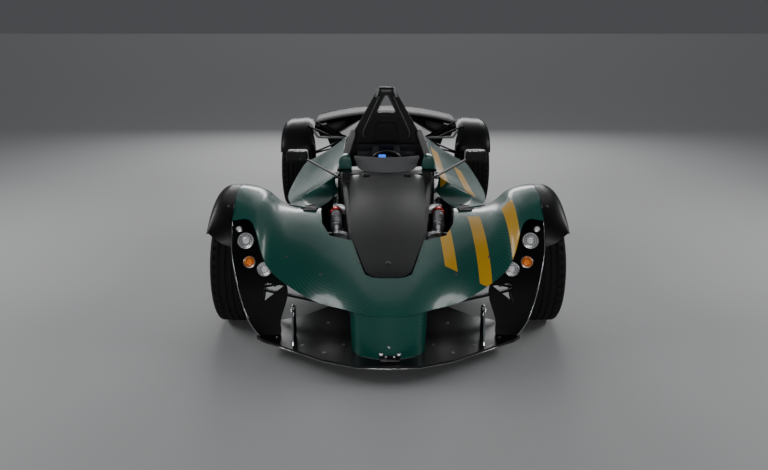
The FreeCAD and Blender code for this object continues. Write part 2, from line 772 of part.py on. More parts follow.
def rear_frame():
    """The tubular frame behind the tub, each tube a solid of its own, coped to the last."""
    end = TAIL_PANEL - SEAT_GAP
    front = TUB_REAR + 24
    cross_y = TAIL_PANEL - 20
    plate = box(250, RAIL_X + 20, TUB_REAR + SEAT_GAP, front, 90, 600)
    bend = point(RAIL_X, FLOOR_REAR, RAIL_LOW)
    low = rod(point(RAIL_X, front, RAIL_LOW), bend, RAIL_RADIUS)
    rising = rod(bend, point(RAIL_X, end, RAIL_LOW + 138), RAIL_RADIUS)
    high = rod(point(RAIL_X, front, RAIL_HIGH), point(RAIL_X, end, RAIL_HIGH), RAIL_RADIUS)
    posts = [rod(point(RAIL_X, y, foot), point(RAIL_X, y, RAIL_HIGH), POST_RADIUS)
             for y, foot in ((bay(0.64), RAIL_LOW), (bay(0.965), RAIL_LOW), (cross_y, RAIL_LOW + 134))]
    deck_y = REAR_AXLE + 255
    deck_post = rod(point(RAIL_X, deck_y, RAIL_HIGH), point(RAIL_X, deck_y, 830), 12)
    struts = [rod(point(RAIL_X, REAR_AXLE + y, RAIL_HIGH), point(REAR_WHEEL_X - 96, REAR_AXLE + y, z), STRUT_RADIUS)
              for y, z in ((35, 742), (-165, 706))]
    seats = [rear_arch(), rear_wing(), box(0, 600, end, TAIL, 0, 900)]
    side = coped([plate, low, rising, high] + posts + [deck_post] + struts, seats)
    cross = [rod(point(-RAIL_X, y, z), point(RAIL_X, y, z), POST_RADIUS)
             for y, z in ((bay(0.64), RAIL_HIGH), (bay(0.965), RAIL_LOW), (cross_y, RAIL_HIGH), (cross_y, RAIL_LOW + 134))]
    other = [mirrored(shape) for shape in side]
    return Part.makeCompound(side + other + coped(cross, side + other))


def engine_block():
    """The engine as one block."""
    return box(-285, 285, ENGINE_FRONT, ENGINE_REAR, FOOT, 600)


def gearbox():
    """The gearbox and final drive behind the engine."""
    case = box(-150, 150, ENGINE_REAR + SEAT_GAP, GEARBOX_REAR, GEARBOX_BOTTOM, 450)
    edges = [e for e in case.Edges if abs(e.CenterOfMass.y - station((ENGINE_REAR + SEAT_GAP + GEARBOX_REAR) / 2)) < 1]
    return case.makeChamfer(40, edges)


def exhaust():
    """The silencer and its two tail pipes."""
    box_rear = TAIL_PANEL - 80
    can = box(-190, 190, GEARBOX_REAR + SEAT_GAP, box_rear, PIPE_Z - 65, PIPE_Z + 65)
    can = can.makeFillet(40, [e for e in can.Edges if abs(e.CenterOfMass.x) > 189 and abs(e.CenterOfMass.z - PIPE_Z) > 60])
    for x in (-PIPE_X, PIPE_X):
        can = can.fuse(rod(point(x, box_rear - 10, PIPE_Z), point(x, TAIL_PANEL + 70, PIPE_Z), PIPE_RADIUS))
    can = can.removeSplitter()
    for x in (-PIPE_X, PIPE_X):
        can = can.cut(rod(point(x, box_rear + 10, PIPE_Z), point(x, TAIL_PANEL + 80, PIPE_Z), PIPE_RADIUS - PIPE_WALL))
    return can


def tow_eye():
    """The towing eye, an upright plate with a hole across the car."""
    ear = side_plate([
        (TAIL_PANEL + 4, TOW_EYE_Z - 30), (TOW_EYE_Y + 6, TOW_EYE_Z - 24), (TOW_EYE_Y + 24, TOW_EYE_Z),
        (TOW_EYE_Y + 6, TOW_EYE_Z + 24), (TAIL_PANEL + 4, TOW_EYE_Z + 30),
    ], -TOW_EYE_WALL / 2, TOW_EYE_WALL / 2)
    return ear.cut(along_x(-TOW_EYE_WALL, TOW_EYE_WALL, TOW_EYE_Y, TOW_EYE_Z, TOW_EYE_RADIUS))


def tail_panel():
    """The upright panel that closes the tail, with holes for the tail pipes and the towing eye."""
    outline = symmetric([(0, 236), (400, 236), (480, 330), (560, 560), (540, 690), (0, 745)])
    plate = wall(outline, TAIL_PANEL, TAIL_PANEL + TAIL_PANEL_WALL)
    for x in (-PIPE_X, PIPE_X):
        plate = plate.cut(rod(point(x, TAIL_PANEL - 20, PIPE_Z), point(x, TAIL_PANEL + 40, PIPE_Z), PIPE_RADIUS + SEAT_GAP))
    return joined([plate, tow_eye()])


def rear_lamps():
    """The tail lamps of both sides."""
    lamps = [box(300, 500, TAIL_PANEL + TAIL_PANEL_WALL + SEAT_GAP, TAIL_PANEL + 34, 596, 634)]
    lamps.append(rod(point(420, TAIL_PANEL + TAIL_PANEL_WALL + SEAT_GAP, 530), point(420, TAIL_PANEL + 34, 530), 32))
    return Part.makeCompound(lamps + [mirrored(shape) for shape in lamps])


def diffuser():
    """The rising floor behind the rear axle, with four fences."""
    y0 = FLOOR_REAR + SEAT_GAP
    plate = side_plate([(y0, FLOOR_BOTTOM), (TAIL, 190), (TAIL, 202), (y0, FLOOR_TOP)], -590, 590)
    plate = plate.common(slab(symmetric([(0, y0), (420, y0), (590, y0 + 150), (590, TAIL), (0, TAIL)]), 0, 500))
    fences = []
    for x in (190, 400, 585):
        front, top = (y0 + 170, 96) if x > 500 else (y0 + 70, 82)
        fence = side_plate([(front, top), (TAIL - 8, 195), (TAIL - 30, 110), (front + 60, 72)], x - 2.5, x + 2.5)
        fences += [fence, mirrored(fence)]
    return joined([plate] + fences)


def mirrors():
    """Both door mirrors on thin stalks."""
    front, back = 985, 1050
    head = box(515, 655, front, back, 662, 738)
    head = head.makeFillet(20, [e for e in head.Edges if abs(e.CenterOfMass.y - station((front + back) / 2)) < 1])
    head = head.makeFillet(12, [e for e in head.Edges if abs(e.CenterOfMass.y - station(front)) < 1])
    stalk = blade(point(284, 752, 604), point(545, 1010, 690), 20, 8)
    return both(largest(joined([head, stalk]).cut(tub_block()).cut(side_pod())))


# Suspension and wheels

def front_dampers():
    """The front dampers beside the tub, each on two brackets."""
    lower, upper = point(272, 60, 440), point(300, 420, 500)
    way = upper - lower
    body = rod(lower, upper, 17)
    spring = rod(lower + way * 0.2, lower + way * 0.82, 29)
    brackets = [box(195, 290, 48, 72, 400, 440), box(220, 318, 408, 432, 430, 500)]
    shape = joined([body, spring] + brackets).cut(tub_block())
    return both(largest(shape))


def wishbone(z, ends, seats):
    """A fixed wishbone: a ring round the king pin and two legs to its inner ends."""
    ring = Part.makeCylinder(26, BALL_HEIGHT, point(KINGPIN_X, 0, z - BALL_HEIGHT / 2))
    legs = [blade(point(KINGPIN_X, 0, z), point(x, y, low), 30, 14) for x, y, low in ends]
    return coped([ring] + legs, seats)


def front_arms():
    """The front wishbones and push rods of both sides."""
    parts = []
    hole = Part.makeCylinder(PIN_RADIUS + FIT, 400, point(KINGPIN_X, 0, 100))
    seats = [tub_block(SEAT_GAP), hole]
    parts += wishbone(LOWER_BALL_Z, ((140, -345, 176), (150, 262, 176)), seats)
    parts += wishbone(UPPER_BALL_Z, ((140, -205, 365), (150, 232, 410)), seats)
    push_rod = rod(point(KINGPIN_X - 102, -8, 176), point(288, 70, 424), 10)
    parts += coped([push_rod], parts + [front_dampers()])
    return Part.makeCompound(parts + [mirrored(shape) for shape in parts])


def caliper(middle):
    """A brake caliper behind the axle, astride the disc."""
    x, y, z = middle
    outer = box(x - 56, x - 2, y + 92, y + 176, z - 52, z + 52)
    slot = along_x(x + DISC_INNER - 5, x + DISC_OUTER + 5, y, z, DISC_RADIUS + 5)
    return outer.cut(slot)


def upright(middle, height):
    """A wheel carrier with its hub, brake caliper and a bore on the wheel's axis."""
    x, y, z = middle
    parts = [box(x + UPRIGHT_INNER, x + UPRIGHT_OUTER, y - 30, y + 30, z - height, z + height)]
    parts.append(along_x(x + UPRIGHT_INNER - 12, x + DISC_INNER - 6, y, z, 52))
    parts.append(box(x + UPRIGHT_INNER + 14, x + UPRIGHT_OUTER, y, y + 110, z - 40, z + 40))
    parts.append(caliper(middle))
    return parts


def knuckle():
    """The steered wheel carrier: upright, stub axle, pins and steering arm."""
    middle = (FRONT_WHEEL_X, 0, FRONT_TYRE_RADIUS)
    parts = upright(middle, 112)
    parts.append(along_x(FRONT_WHEEL_X + DISC_INNER - 10, FRONT_WHEEL_X + HUB_OUTER, 0, FRONT_TYRE_RADIUS, STUB_RADIUS))
    parts.append(Part.makeCylinder(PIN_RADIUS, 2 * (UPPER_BALL_Z - FRONT_TYRE_RADIUS) + 30, point(KINGPIN_X, 0, LOWER_BALL_Z - 14)))
    arm = box(KINGPIN_X - 20, KINGPIN_X - 6, -150, -20, TIE_ROD_Z - 36, TIE_ROD_Z + 36)
    eye = along_x(KINGPIN_X - 30, KINGPIN_X, -112, TIE_ROD_Z, EYE_RADIUS)
    parts.append(arm.cut(eye))
    return joined(parts)


def rear_arms():
    """The rear wishbones with the fixed wheel carriers."""
    middle = (REAR_WHEEL_X, REAR_AXLE, REAR_TYRE_RADIUS)
    bore = along_x(600, 800, REAR_AXLE, REAR_TYRE_RADIUS, STUB_RADIUS + FIT)
    carrier = joined(upright(middle, 124)).cut(bore)
    hub = REAR_WHEEL_X - 70
    legs = []
    for z, ends in (
        (REAR_TYRE_RADIUS - 118, ((-220, 116), (225, 200))),
        (REAR_TYRE_RADIUS + 118, ((-185, 556), (195, 556))),
    ):
        for y, low in ends:
            legs.append(blade(point(hub, REAR_AXLE, z), point(RAIL_X, REAR_AXLE + y, low), 30, 14))
    parts = coped([carrier] + legs, [rear_frame()])
    return Part.makeCompound(parts + [mirrored(shape) for shape in parts])


def rim(x, y, z, half):
    """A wheel: barrel, two flanges, hub and spokes."""
    inner = RIM_RADIUS - RIM_WALL
    bead = half - FLANGE_WIDTH
    profile = [(-half, inner), (-half, FLANGE_RADIUS), (-bead, FLANGE_RADIUS), (-bead, RIM_RADIUS)]
    profile += [(bead, RIM_RADIUS), (bead, FLANGE_RADIUS), (half, FLANGE_RADIUS), (half, inner)]
    middle = point(x, y, z)
    parts = [turned(profile, middle)]
    parts.append(along_x(x + HUB_INNER, x + HUB_OUTER, y, z, HUB_RADIUS))
    for i in range(SPOKES):
        spoke = box(x + HUB_INNER + 6, x + HUB_OUTER, y - SPOKE_WIDTH / 2, y + SPOKE_WIDTH / 2, z + 50, z + inner + 3)
        spoke.rotate(middle, Vec(1, 0, 0), 360.0 / SPOKES * i)
        parts.append(spoke)
    wheel = joined(parts)
    return wheel.cut(along_x(x - 50, x + 150, y, z, STUB_RADIUS + FIT))


def tyre(x, y, z, half, radius):
    """A tyre, hollow over the rim, its beads held between the flanges."""
    seat = RIM_RADIUS + SEAT_GAP
    lip = FLANGE_RADIUS + SEAT_GAP
    bead = half - RIM_INSET - FLANGE_WIDTH - SEAT_GAP
    side = [
        (bead, seat), (bead, lip), (half - 4, lip + 2), (half, radius - 46), (half - 5, radius - 18),
        (half - SHOULDER, radius),
    ]
    hollow = [(bead - TYRE_WALL, seat), (half - TYRE_WALL - 6, lip + 16), (half - SHOULDER, radius - TYRE_WALL)]
    outer = [(-a, r) for a, r in side] + side[::-1]
    inner = hollow + [(-a, r) for a, r in hollow[::-1]]
    return turned(outer + inner, point(x, y, z))


def disc(x, y, z):
    """A brake disc with its bell, bolted to the wheel's hub."""
    ring = along_x(x + DISC_INNER, x + DISC_OUTER, y, z, DISC_RADIUS)
    bell = along_x(x + DISC_INNER, x + HUB_INNER - SEAT_GAP, y, z, BELL_RADIUS)
    shape = ring.fuse(bell).removeSplitter()
    return shape.cut(along_x(x - 60, x + 60, y, z, STUB_RADIUS + FIT))


def rear_disc(x, y, z):
    """A rear brake disc with the drive shaft that turns it."""
    ring = along_x(x + DISC_INNER, x + DISC_OUTER, y, z, DISC_RADIUS)
    bell = along_x(x + DISC_INNER, x + HUB_INNER - SEAT_GAP, y, z, BELL_RADIUS)
    stub = along_x(x + UPRIGHT_INNER - 20, x + HUB_OUTER, y, z, STUB_RADIUS)
    shaft = along_x(156, x + UPRIGHT_INNER, y, z, 15)
    joint = along_x(156, 216, y, z, 42)
    return joined([ring, bell, stub, shaft, joint])


def front_wheel_parts():
    """The tyre, rim and disc of the front wheel on the +X side."""
    place = (FRONT_WHEEL_X, 0, FRONT_TYRE_RADIUS)
    half = FRONT_TYRE_WIDTH / 2
    return tyre(*place, half, FRONT_TYRE_RADIUS), rim(*place, half - RIM_INSET), disc(*place)


def rear_wheel_parts():
    """The tyre, rim and disc of the rear wheel on the +X side."""
    place = (REAR_WHEEL_X, REAR_AXLE, REAR_TYRE_RADIUS)
    half = REAR_TYRE_WIDTH / 2
    return tyre(*place, half, REAR_TYRE_RADIUS), rim(*place, half - RIM_INSET), rear_disc(*place)


def pieces():
    """Every node of the car by name."""
    nodes = {
        "floor_pan": floor_pan(), "front_splitter": front_splitter(), "tub": tub(),
        "nose_cone": nose_cone(), "nose_shell": nose_shell(), "hatch_lid": hatch_lid(),
        "scuttle": scuttle(), "windscreen": windscreen(), "dashboard": dashboard(),
        "steering_wheel": steering_wheel(), "steering_rack": steering_rack(), "seat_shell": seat(),
        "headrest": headrest(), "roll_hoop": roll_hoop(), "hoop_panel": hoop_panel(),
        "headlamps": headlamps(), "indicators": indicators(), "engine_cover": engine_cover(),
        "rear_wing": rear_wing(), "tail_panel": tail_panel(), "rear_lamps": rear_lamps(),
        "rear_frame": rear_frame(), "engine_block": engine_block(), "gearbox": gearbox(),
        "exhaust": exhaust(), "diffuser": diffuser(), "mirrors": mirrors(),
        "front_dampers": front_dampers(), "front_arms": front_arms(), "rear_arms": rear_arms(),
    }
    pairs = {
        "front_arch": front_arch(), "lamp_panel": lamp_panel(), "side_pod": side_pod(),
        "rear_arch": rear_arch(), "knuckle": knuckle(),
    }
    for place, parts in (("front", front_wheel_parts()), ("rear", rear_wheel_parts())):
        for name, shape in zip(("tyre", "rim", "disc"), parts):
            pairs[place + "_" + name] = shape
    for name, shape in pairs.items():
        nodes[name + "_left"] = shape
        nodes[name + "_right"] = mirrored(shape)
    return nodes


def main():
    os.makedirs("parts", exist_ok=True)
    for name, shape in pieces().items():
        shape.exportStep("parts/" + name + ".step")
        print(name, shape.isValid(), round(shape.Volume / 1e6, 3), len(shape.Solids))


main()
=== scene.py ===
"""The looks of an open wheel racing car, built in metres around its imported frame."""
import math
import bmesh
import bpy
from mathutils import Matrix, Vector


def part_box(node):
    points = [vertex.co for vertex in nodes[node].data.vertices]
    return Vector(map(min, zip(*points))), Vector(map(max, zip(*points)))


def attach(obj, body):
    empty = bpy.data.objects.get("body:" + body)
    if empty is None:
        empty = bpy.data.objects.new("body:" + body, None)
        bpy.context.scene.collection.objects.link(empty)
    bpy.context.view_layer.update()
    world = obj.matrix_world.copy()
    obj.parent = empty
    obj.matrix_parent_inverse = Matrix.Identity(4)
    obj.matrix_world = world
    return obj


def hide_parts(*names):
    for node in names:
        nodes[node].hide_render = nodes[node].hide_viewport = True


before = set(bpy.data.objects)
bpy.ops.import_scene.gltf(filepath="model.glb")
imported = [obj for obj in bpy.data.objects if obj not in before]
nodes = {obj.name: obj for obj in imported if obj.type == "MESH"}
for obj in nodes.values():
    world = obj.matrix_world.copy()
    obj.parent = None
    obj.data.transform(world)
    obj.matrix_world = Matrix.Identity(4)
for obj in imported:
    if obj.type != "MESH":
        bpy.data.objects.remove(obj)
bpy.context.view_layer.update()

FRONT_AXLE = -1.201
REAR_AXLE = 1.364
WHEELBASE = 2.565
KING_PIN = 0.714
FRONT_RADIUS, REAR_RADIUS = 0.298, 0.314
FRONT_HUB = Vector((0.784, FRONT_AXLE, FRONT_RADIUS))
REAR_HUB = Vector((0.752, REAR_AXLE, REAR_RADIUS))
SIDES = (("left", 1), ("right", -1))
ACROSS, BACK, AHEAD, UP = (1, 0, 0), (0, 1, 0), (0, -1, 0), (0, 0, 1)


def spot(x, y, z):
    """A place in metres, with y from the front axle."""
    return Vector((x, FRONT_AXLE + y, z))


def path(*points):
    """Places given by their coordinates."""
    return [spot(*point) for point in points]


# Working with Blender's tools

def clear_selection():
    """Leaves edit mode with nothing selected."""
    if bpy.context.object and bpy.context.object.mode != "OBJECT":
        bpy.ops.object.mode_set(mode="OBJECT")
    bpy.ops.object.select_all(action="DESELECT")


def take(obj):
    """Makes obj the only selected object."""
    clear_selection()
    obj.select_set(True)
    bpy.context.view_layer.objects.active = obj
    return obj


def settle(obj):
    """Puts the object's place into its mesh."""
    take(obj)
    bpy.ops.object.transform_apply(location=True, rotation=True, scale=True)
    return obj


def named(name):
    """Names the newest primitive and puts its place into its mesh."""
    obj = bpy.context.object
    obj.name = name
    return settle(obj)


def picking(obj, kind):
    """Edit mode in which faces or edges are picked, with none picked yet."""
    take(obj)
    bpy.ops.object.mode_set(mode="EDIT")
    bpy.ops.mesh.select_mode(type=kind)
    bpy.ops.mesh.select_all(action="DESELECT")
    return bmesh.from_edit_mesh(obj.data)


def looking(way, limit=0.5):
    """A test for the faces that look along a way such as "+z", or along both ways of an axis."""
    axis = "xyz".index(way[-1])
    if len(way) == 1:
        return lambda centre, normal: abs(normal[axis]) > limit
    sign = -1 if way[0] == "-" else 1
    return lambda centre, normal: normal[axis] * sign > limit


def faces(obj, test):
    """Enters edit mode with only the faces that pass the test selected; test takes centre and normal."""
    mesh = picking(obj, "FACE")
    for face in mesh.faces:
        if test(face.calc_center_median(), face.normal):
            face.select_set(True)
    mesh.select_flush_mode()
    bmesh.update_edit_mesh(obj.data)


def round_corners(obj, width, segments):
    """Rounds the edges that run along y."""
    mesh = picking(obj, "EDGE")
    for edge in mesh.edges:
        a, b = (v.co for v in edge.verts)
        edge.select_set(abs((b - a).normalized().y) > 0.9)
    bmesh.update_edit_mesh(obj.data)
    bpy.ops.mesh.bevel(offset=width, segments=segments)
    out()


def edit():
    """Edit mode with everything selected."""
    bpy.ops.object.mode_set(mode="EDIT")
    bpy.ops.mesh.select_all(action="SELECT")


def out():
    """Back to object mode."""
    bpy.ops.object.mode_set(mode="OBJECT")


def inset(obj, test, *steps):
    """Insets the faces that pass the test, once for each (width, depth)."""
    faces(obj, test)
    for width, depth in steps:
        bpy.ops.mesh.inset(thickness=width, depth=depth)
    out()


def outward(obj):
    """Merges doubles and turns every face outwards."""
    take(obj)
    edit()
    bpy.ops.mesh.remove_doubles(threshold=0.00002)
    bpy.ops.mesh.normals_make_consistent(inside=False)
    out()
    return obj


def smooth(obj, angle=35):
    """Smooth shading with edges kept where faces meet at more than the angle."""
    take(obj)
    bpy.ops.object.shade_smooth_by_angle(angle=math.radians(angle))
    return obj


def modified(obj, kind, **settings):
    """Applies a modifier with its settings."""
    take(obj)
    modifier = obj.modifiers.new(kind.lower(), kind)
    for key, value in settings.items():
        setattr(modifier, key, value)
    bpy.ops.object.modifier_apply(modifier=modifier.name)
    return obj


def rounded(obj, width, segments=2, angle=30):
    """Rounds the sharp edges of a piece."""
    return modified(obj, "BEVEL", width=width, segments=segments, limit_method="ANGLE",
        angle_limit=math.radians(angle))


def eased(obj, width):
    """Rounds a piece's edges finely and shades it smoothly between them."""
    return smooth(rounded(obj, width, 2, 40), 35)


def thickened(obj, depth):
    """Gives a sheet its thickness."""
    return modified(obj, "SOLIDIFY", thickness=depth, offset=0.0)


def subdivided(obj, levels):
    """A finer, rounder mesh."""
    return modified(obj, "SUBSURF", levels=levels, render_levels=levels)


def joined(objects, name):
    """Several pieces as one."""
    clear_selection()
    for obj in objects:
        obj.select_set(True)
    bpy.context.view_layer.objects.active = objects[0]
    if len(objects) > 1:
        bpy.ops.object.join()
    objects[0].name = name
    return objects[0]


def copied(obj, name, matrix):
    """A copy with its own mesh, moved by a matrix."""
    twin = obj.copy()
    twin.data = obj.data.copy()
    twin.name = name
    bpy.context.collection.objects.link(twin)
    twin.data.transform(matrix)
    if matrix.determinant() < 0:
        twin.data.flip_normals()
    return twin


MIRROR = Matrix.Scale(-1, 4, ACROSS)


def turned_to(direction):
    """The rotation that lays +Z along a direction."""
    return Vector(direction).to_track_quat("Z", "Y").to_euler()


def bar(name, start, end, radius, sides=24, tip=None):
    """A round bar from one point to another, tapering to tip if it is given."""
    clear_selection()
    start, end = Vector(start), Vector(end)
    line = end - start
    bpy.ops.mesh.primitive_cone_add(
        vertices=sides, radius1=radius, radius2=radius if tip is None else tip, depth=line.length,
        location=(start + end) / 2, rotation=turned_to(line))
    return named(name)


def block(name, low, high):
    """A block between two corners."""
    clear_selection()
    low, high = Vector(low), Vector(high)
    bpy.ops.mesh.primitive_cube_add(size=1, location=(low + high) / 2, scale=high - low)
    return named(name)


def chain(name, points, closed=False):
    """A line of edges, drawn by extruding one vertex from point to point."""
    clear_selection()
    bpy.ops.mesh.primitive_plane_add(size=0.01)
    obj = named(name)
    bpy.ops.object.mode_set(mode="EDIT")
    bpy.ops.mesh.select_mode(type="VERT")
    bpy.ops.mesh.select_all(action="SELECT")
    bpy.ops.mesh.merge(type="CENTER")
    bpy.ops.transform.translate(value=points[0])
    for a, b in zip(points, points[1:]):
        step = Vector(b) - Vector(a)
        bpy.ops.mesh.extrude_region_move(TRANSFORM_OT_translate={"value": step})
    if closed:
        bpy.ops.mesh.select_all(action="SELECT")
        bpy.ops.mesh.edge_face_add()
    out()
    return obj


def lathe(name, profile, middle, axis, steps=48, closed=False):
    """A turned piece: profile of (along the axis, radius) spun about an axis through middle."""
    middle, axis = Vector(middle), Vector(axis).normalized()
    side = axis.orthogonal().normalized()
    points = [middle + axis * a + side * r for a, r in profile]
    if closed:
        points.append(points[0])
    obj = chain(name, points)
    edit()
    bpy.ops.mesh.spin(steps=steps, angle=2 * math.pi, center=middle, axis=axis)
    out()
    return outward(obj)


def turned(name, profile, middle, axis, steps, angle=30, closed=False):
    """A turned piece, smoothly shaded."""
    return smooth(lathe(name, profile, middle, axis, steps, closed), angle)


def tube(name, points, radius, cyclic=False, sides=3, smooth_line=True):
    """A thin tube along a smooth line."""
    curve = bpy.data.curves.new(name, "CURVE")
    curve.dimensions = "3D"
    line = curve.splines.new("NURBS" if smooth_line else "POLY")
    line.points.add(len(points) - 1)
    for knot, place in zip(line.points, points):
        knot.co = (*place, 1)
    if smooth_line:
        line.order_u = 3
        line.use_endpoint_u = not cyclic
    line.use_cyclic_u = cyclic
    line.resolution_u = 4
    curve.bevel_depth = radius
    curve.bevel_resolution = sides
    curve.use_fill_caps = True
    obj = bpy.data.objects.new(name, curve)
    bpy.context.collection.objects.link(obj)
    take(obj)
    bpy.ops.object.convert(target="MESH")
    return smooth(outward(bpy.context.object), 50)


def fit(obj, finish, body="chassis"):
    """Gives a finished piece its finish and lets it ride on its body."""
    obj.data.materials.clear()
    obj.data.materials.append(finish)
    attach(obj, body)
    return obj


def both_sides(obj, finish, body="chassis"):
    """Fits a piece of the left side and its mirror image; {} in the body takes the side."""
    twin = copied(obj, obj.name + "_right", MIRROR)
    obj.name += "_left"
    return fit(obj, finish, body.format("left")), fit(twin, finish, body.format("right"))


# Shader maths

def maths(operation):
    """A method that feeds wires and numbers to a Math node."""
    def method(self, *others):
        return self.finish.node("ShaderNodeMath", {"operation": operation}, [self, *others])
    return method


class Wire:
    """A node's output; sums, products and comparisons of wires add Math nodes."""

    def __init__(self, finish, socket):
        self.finish = finish
        self.socket = socket

    def __rsub__(self, other):
        return self.finish.node("ShaderNodeMath", {"operation": "SUBTRACT"}, [other, self])

    __add__ = __radd__ = maths("ADD")
    __sub__ = maths("SUBTRACT")
    __mul__ = __rmul__ = maths("MULTIPLY")
    __truediv__ = maths("DIVIDE")
    __mod__ = maths("FLOORED_MODULO")
    __gt__ = maths("GREATER_THAN")
    __lt__ = maths("LESS_THAN")
    __abs__ = maths("ABSOLUTE")
    floor = maths("FLOOR")
    sine = maths("SINE")


class Finish:
    """A material: constants go on the shader's own sockets, and nodes feed the rest."""

    def __init__(self, name, constants):
        self.material = bpy.data.materials.new(name)
        self.material.use_nodes = True
        self.tree = self.material.node_tree
        self.shader = self.tree.nodes["Principled BSDF"]
        for socket, value in constants.items():
            self.shader.inputs[socket].default_value = value

    def node(self, kind, settings, inputs, output=0):
        """Adds a node with its settings and the values or wires of its sockets."""
        made = self.tree.nodes.new(kind)
        stops = settings.pop("stops", None) if settings else None
        for key, value in (settings or {}).items():
            setattr(made, key, value)
        if stops:
            ramp = made.color_ramp.elements
            while len(ramp) < len(stops):
                ramp.new(1.0)
            for element, (place, colour) in zip(ramp, stops):
                element.position = place
                element.color = colour if len(colour) == 4 else (*colour, 1)
        pairs = enumerate(inputs) if isinstance(inputs, list) else inputs.items()
        for key, value in pairs:
            if isinstance(value, Wire):
                self.tree.links.new(value.socket, made.inputs[key])
            elif value is not None:
                made.inputs[key].default_value = value
        return Wire(self, made.outputs[output])

    def place(self):
        """The surface's own coordinates as x, y and z."""
        place = self.node("ShaderNodeTexCoord", {}, {}, "Object")
        return [self.node("ShaderNodeSeparateXYZ", {}, [place], i) for i in range(3)]

    def facing(self):
        """How far the surface faces along x, y and z."""
        way = self.node("ShaderNodeTexCoord", {}, {}, "Normal")
        return [abs(self.node("ShaderNodeSeparateXYZ", {}, [way], i)) for i in range(3)]

    def noise(self, scale, detail=3.0, roughness=0.55, stretch=None):
        """Cloudy noise, stretched along an axis where stretch is given."""
        place = self.node("ShaderNodeTexCoord", {}, {}, "Object")
        if stretch:
            place = self.node("ShaderNodeMapping", {}, {"Vector": place, "Scale": stretch})
        inputs = {"Vector": place, "Scale": scale, "Detail": detail, "Roughness": roughness}
        return self.node("ShaderNodeTexNoise", {}, inputs)

    def ramp(self, wire, stops):
        """A colour ramp."""
        return self.node("ShaderNodeValToRGB", {"stops": stops}, [wire])

    def blend(self, share, first, second):
        """A mix of two colours."""
        inputs = {0: share, 6: first, 7: second}
        return self.node("ShaderNodeMix", {"data_type": "RGBA"}, inputs, 2)

    def between(self, wire, low, high):
        """A number spread from low to high as the wire goes from 0 to 1."""
        return wire * (high - low) + low

    def feed(self, socket, wire):
        """Joins a wire to one of the shader's sockets."""
        self.tree.links.new(wire.socket, self.shader.inputs[socket])

    def relief(self, height, distance):
        """A bump from a height between 0 and 1."""
        inputs = {"Height": height, "Distance": distance, "Strength": 1.0}
        self.feed("Normal", self.node("ShaderNodeBump", {}, inputs))


def shade(level, tint=(1, 1, 1)):
    """A grey, or a tint of it, as a colour."""
    return (level * tint[0], level * tint[1], level * tint[2], 1)


def weave(finish, tow):
    """A twill weave: how high the cloth stands, and which way its upper tow runs."""
    x, y, z = finish.place()
    nx, ny, nz = finish.facing()
    top = nz > 0.55
    side = (nx > ny) * (1 - top)
    across = (x * (1 - side) + y * side) / tow
    along = (y * top + z * (1 - top)) / tow
    step = (across.floor() + along.floor()) % 4.0
    warp = step < 1.5
    ridge = (across % 1.0 * math.pi).sine() * warp + (along % 1.0 * math.pi).sine() * (1 - warp)
    return ridge, warp


def woven_fibre(name, dark, light, tow, constants, stripes=None):
    """Woven fibre under a clear coat, with painted stripes where a mask is given; each tow's crown and the
    upper tows are painted lighter as a painted sheen.
    """
    finish = Finish(name, constants)
    ridge, warp = weave(finish, tow)
    cloud = finish.noise(3.0)
    # Painted sheen: the colour is lighter along each tow's crown and on the upper tows, standing for the
    # light they catch, with a random cloud on top
    tone = ridge * 0.55 + warp * 0.3 + cloud * 0.25
    colour = finish.ramp(tone, [(0.12, dark), (0.95, light)])
    height = ridge
    if stripes:
        mask, paint = stripes(finish)
        fleck = finish.blend(finish.noise(900.0, 1.0), shade(0.94, paint), shade(1.0, paint))
        colour = finish.blend(mask, colour, fleck)
        height = ridge * (1 - mask * 0.85)
    finish.feed("Base Color", colour)
    finish.feed("Roughness", finish.between(ridge, 0.5, 0.34))
    finish.relief(height, 0.00025)
    return finish.material


AMBER = (0.88, 0.48, 0.010)


def wing_bars(finish):
    """Three bars of amber running back over the left front wing, with slanted ends."""
    x, y, _ = finish.place()
    back = y - FRONT_AXLE
    bars = ((x + back * 0.04 - 0.262) % 0.164) < 0.060
    inside = (x > 0.250) * (x < 0.64)
    ends = ((back + x * 0.25) > -0.27) * ((back + x * 0.35) < 0.20)
    return bars * inside * ends, AMBER


def pod_bars(finish):
    """Two of the same bars along the left pod's upper face."""
    x, y, z = finish.place()
    back = y - FRONT_AXLE
    bars = ((x + back * 0.03 - 0.357) % 0.155) < 0.052
    inside = (x > 0.31) * (x < 0.59) * (z > 0.487)
    ends = ((back + x * 0.6) > 0.93) * ((back + x * 0.6) < 1.62)
    return bars * inside * ends, AMBER


TOW = 0.0042
GLOSS_COAT = {"Coat Weight": 0.7, "Coat Roughness": 0.16, "IOR": 1.4, "Coat IOR": 1.4}
# The weave runs from DEEP_GREEN in its grooves and under tows, a painted shade, to LIT_GREEN on the tow
# crowns and upper tows, a painted sheen
DEEP_GREEN = (0.0007, 0.0180, 0.0145)
LIT_GREEN = (0.0035, 0.165, 0.125)

carbon_green = woven_fibre("carbon_green", DEEP_GREEN, LIT_GREEN, TOW, GLOSS_COAT)
carbon_green_wing = woven_fibre("carbon_green_wing", DEEP_GREEN, LIT_GREEN, TOW, GLOSS_COAT, wing_bars)
carbon_green_pod = woven_fibre("carbon_green_pod", DEEP_GREEN, LIT_GREEN, TOW, GLOSS_COAT, pod_bars)
# The dark weave carries the same painted sheen and shade, in greys
carbon_dark = woven_fibre(
    "carbon_dark", (0.006, 0.006, 0.007), (0.05, 0.05, 0.054), TOW,
    {"Coat Weight": 0.35, "Coat Roughness": 0.25})


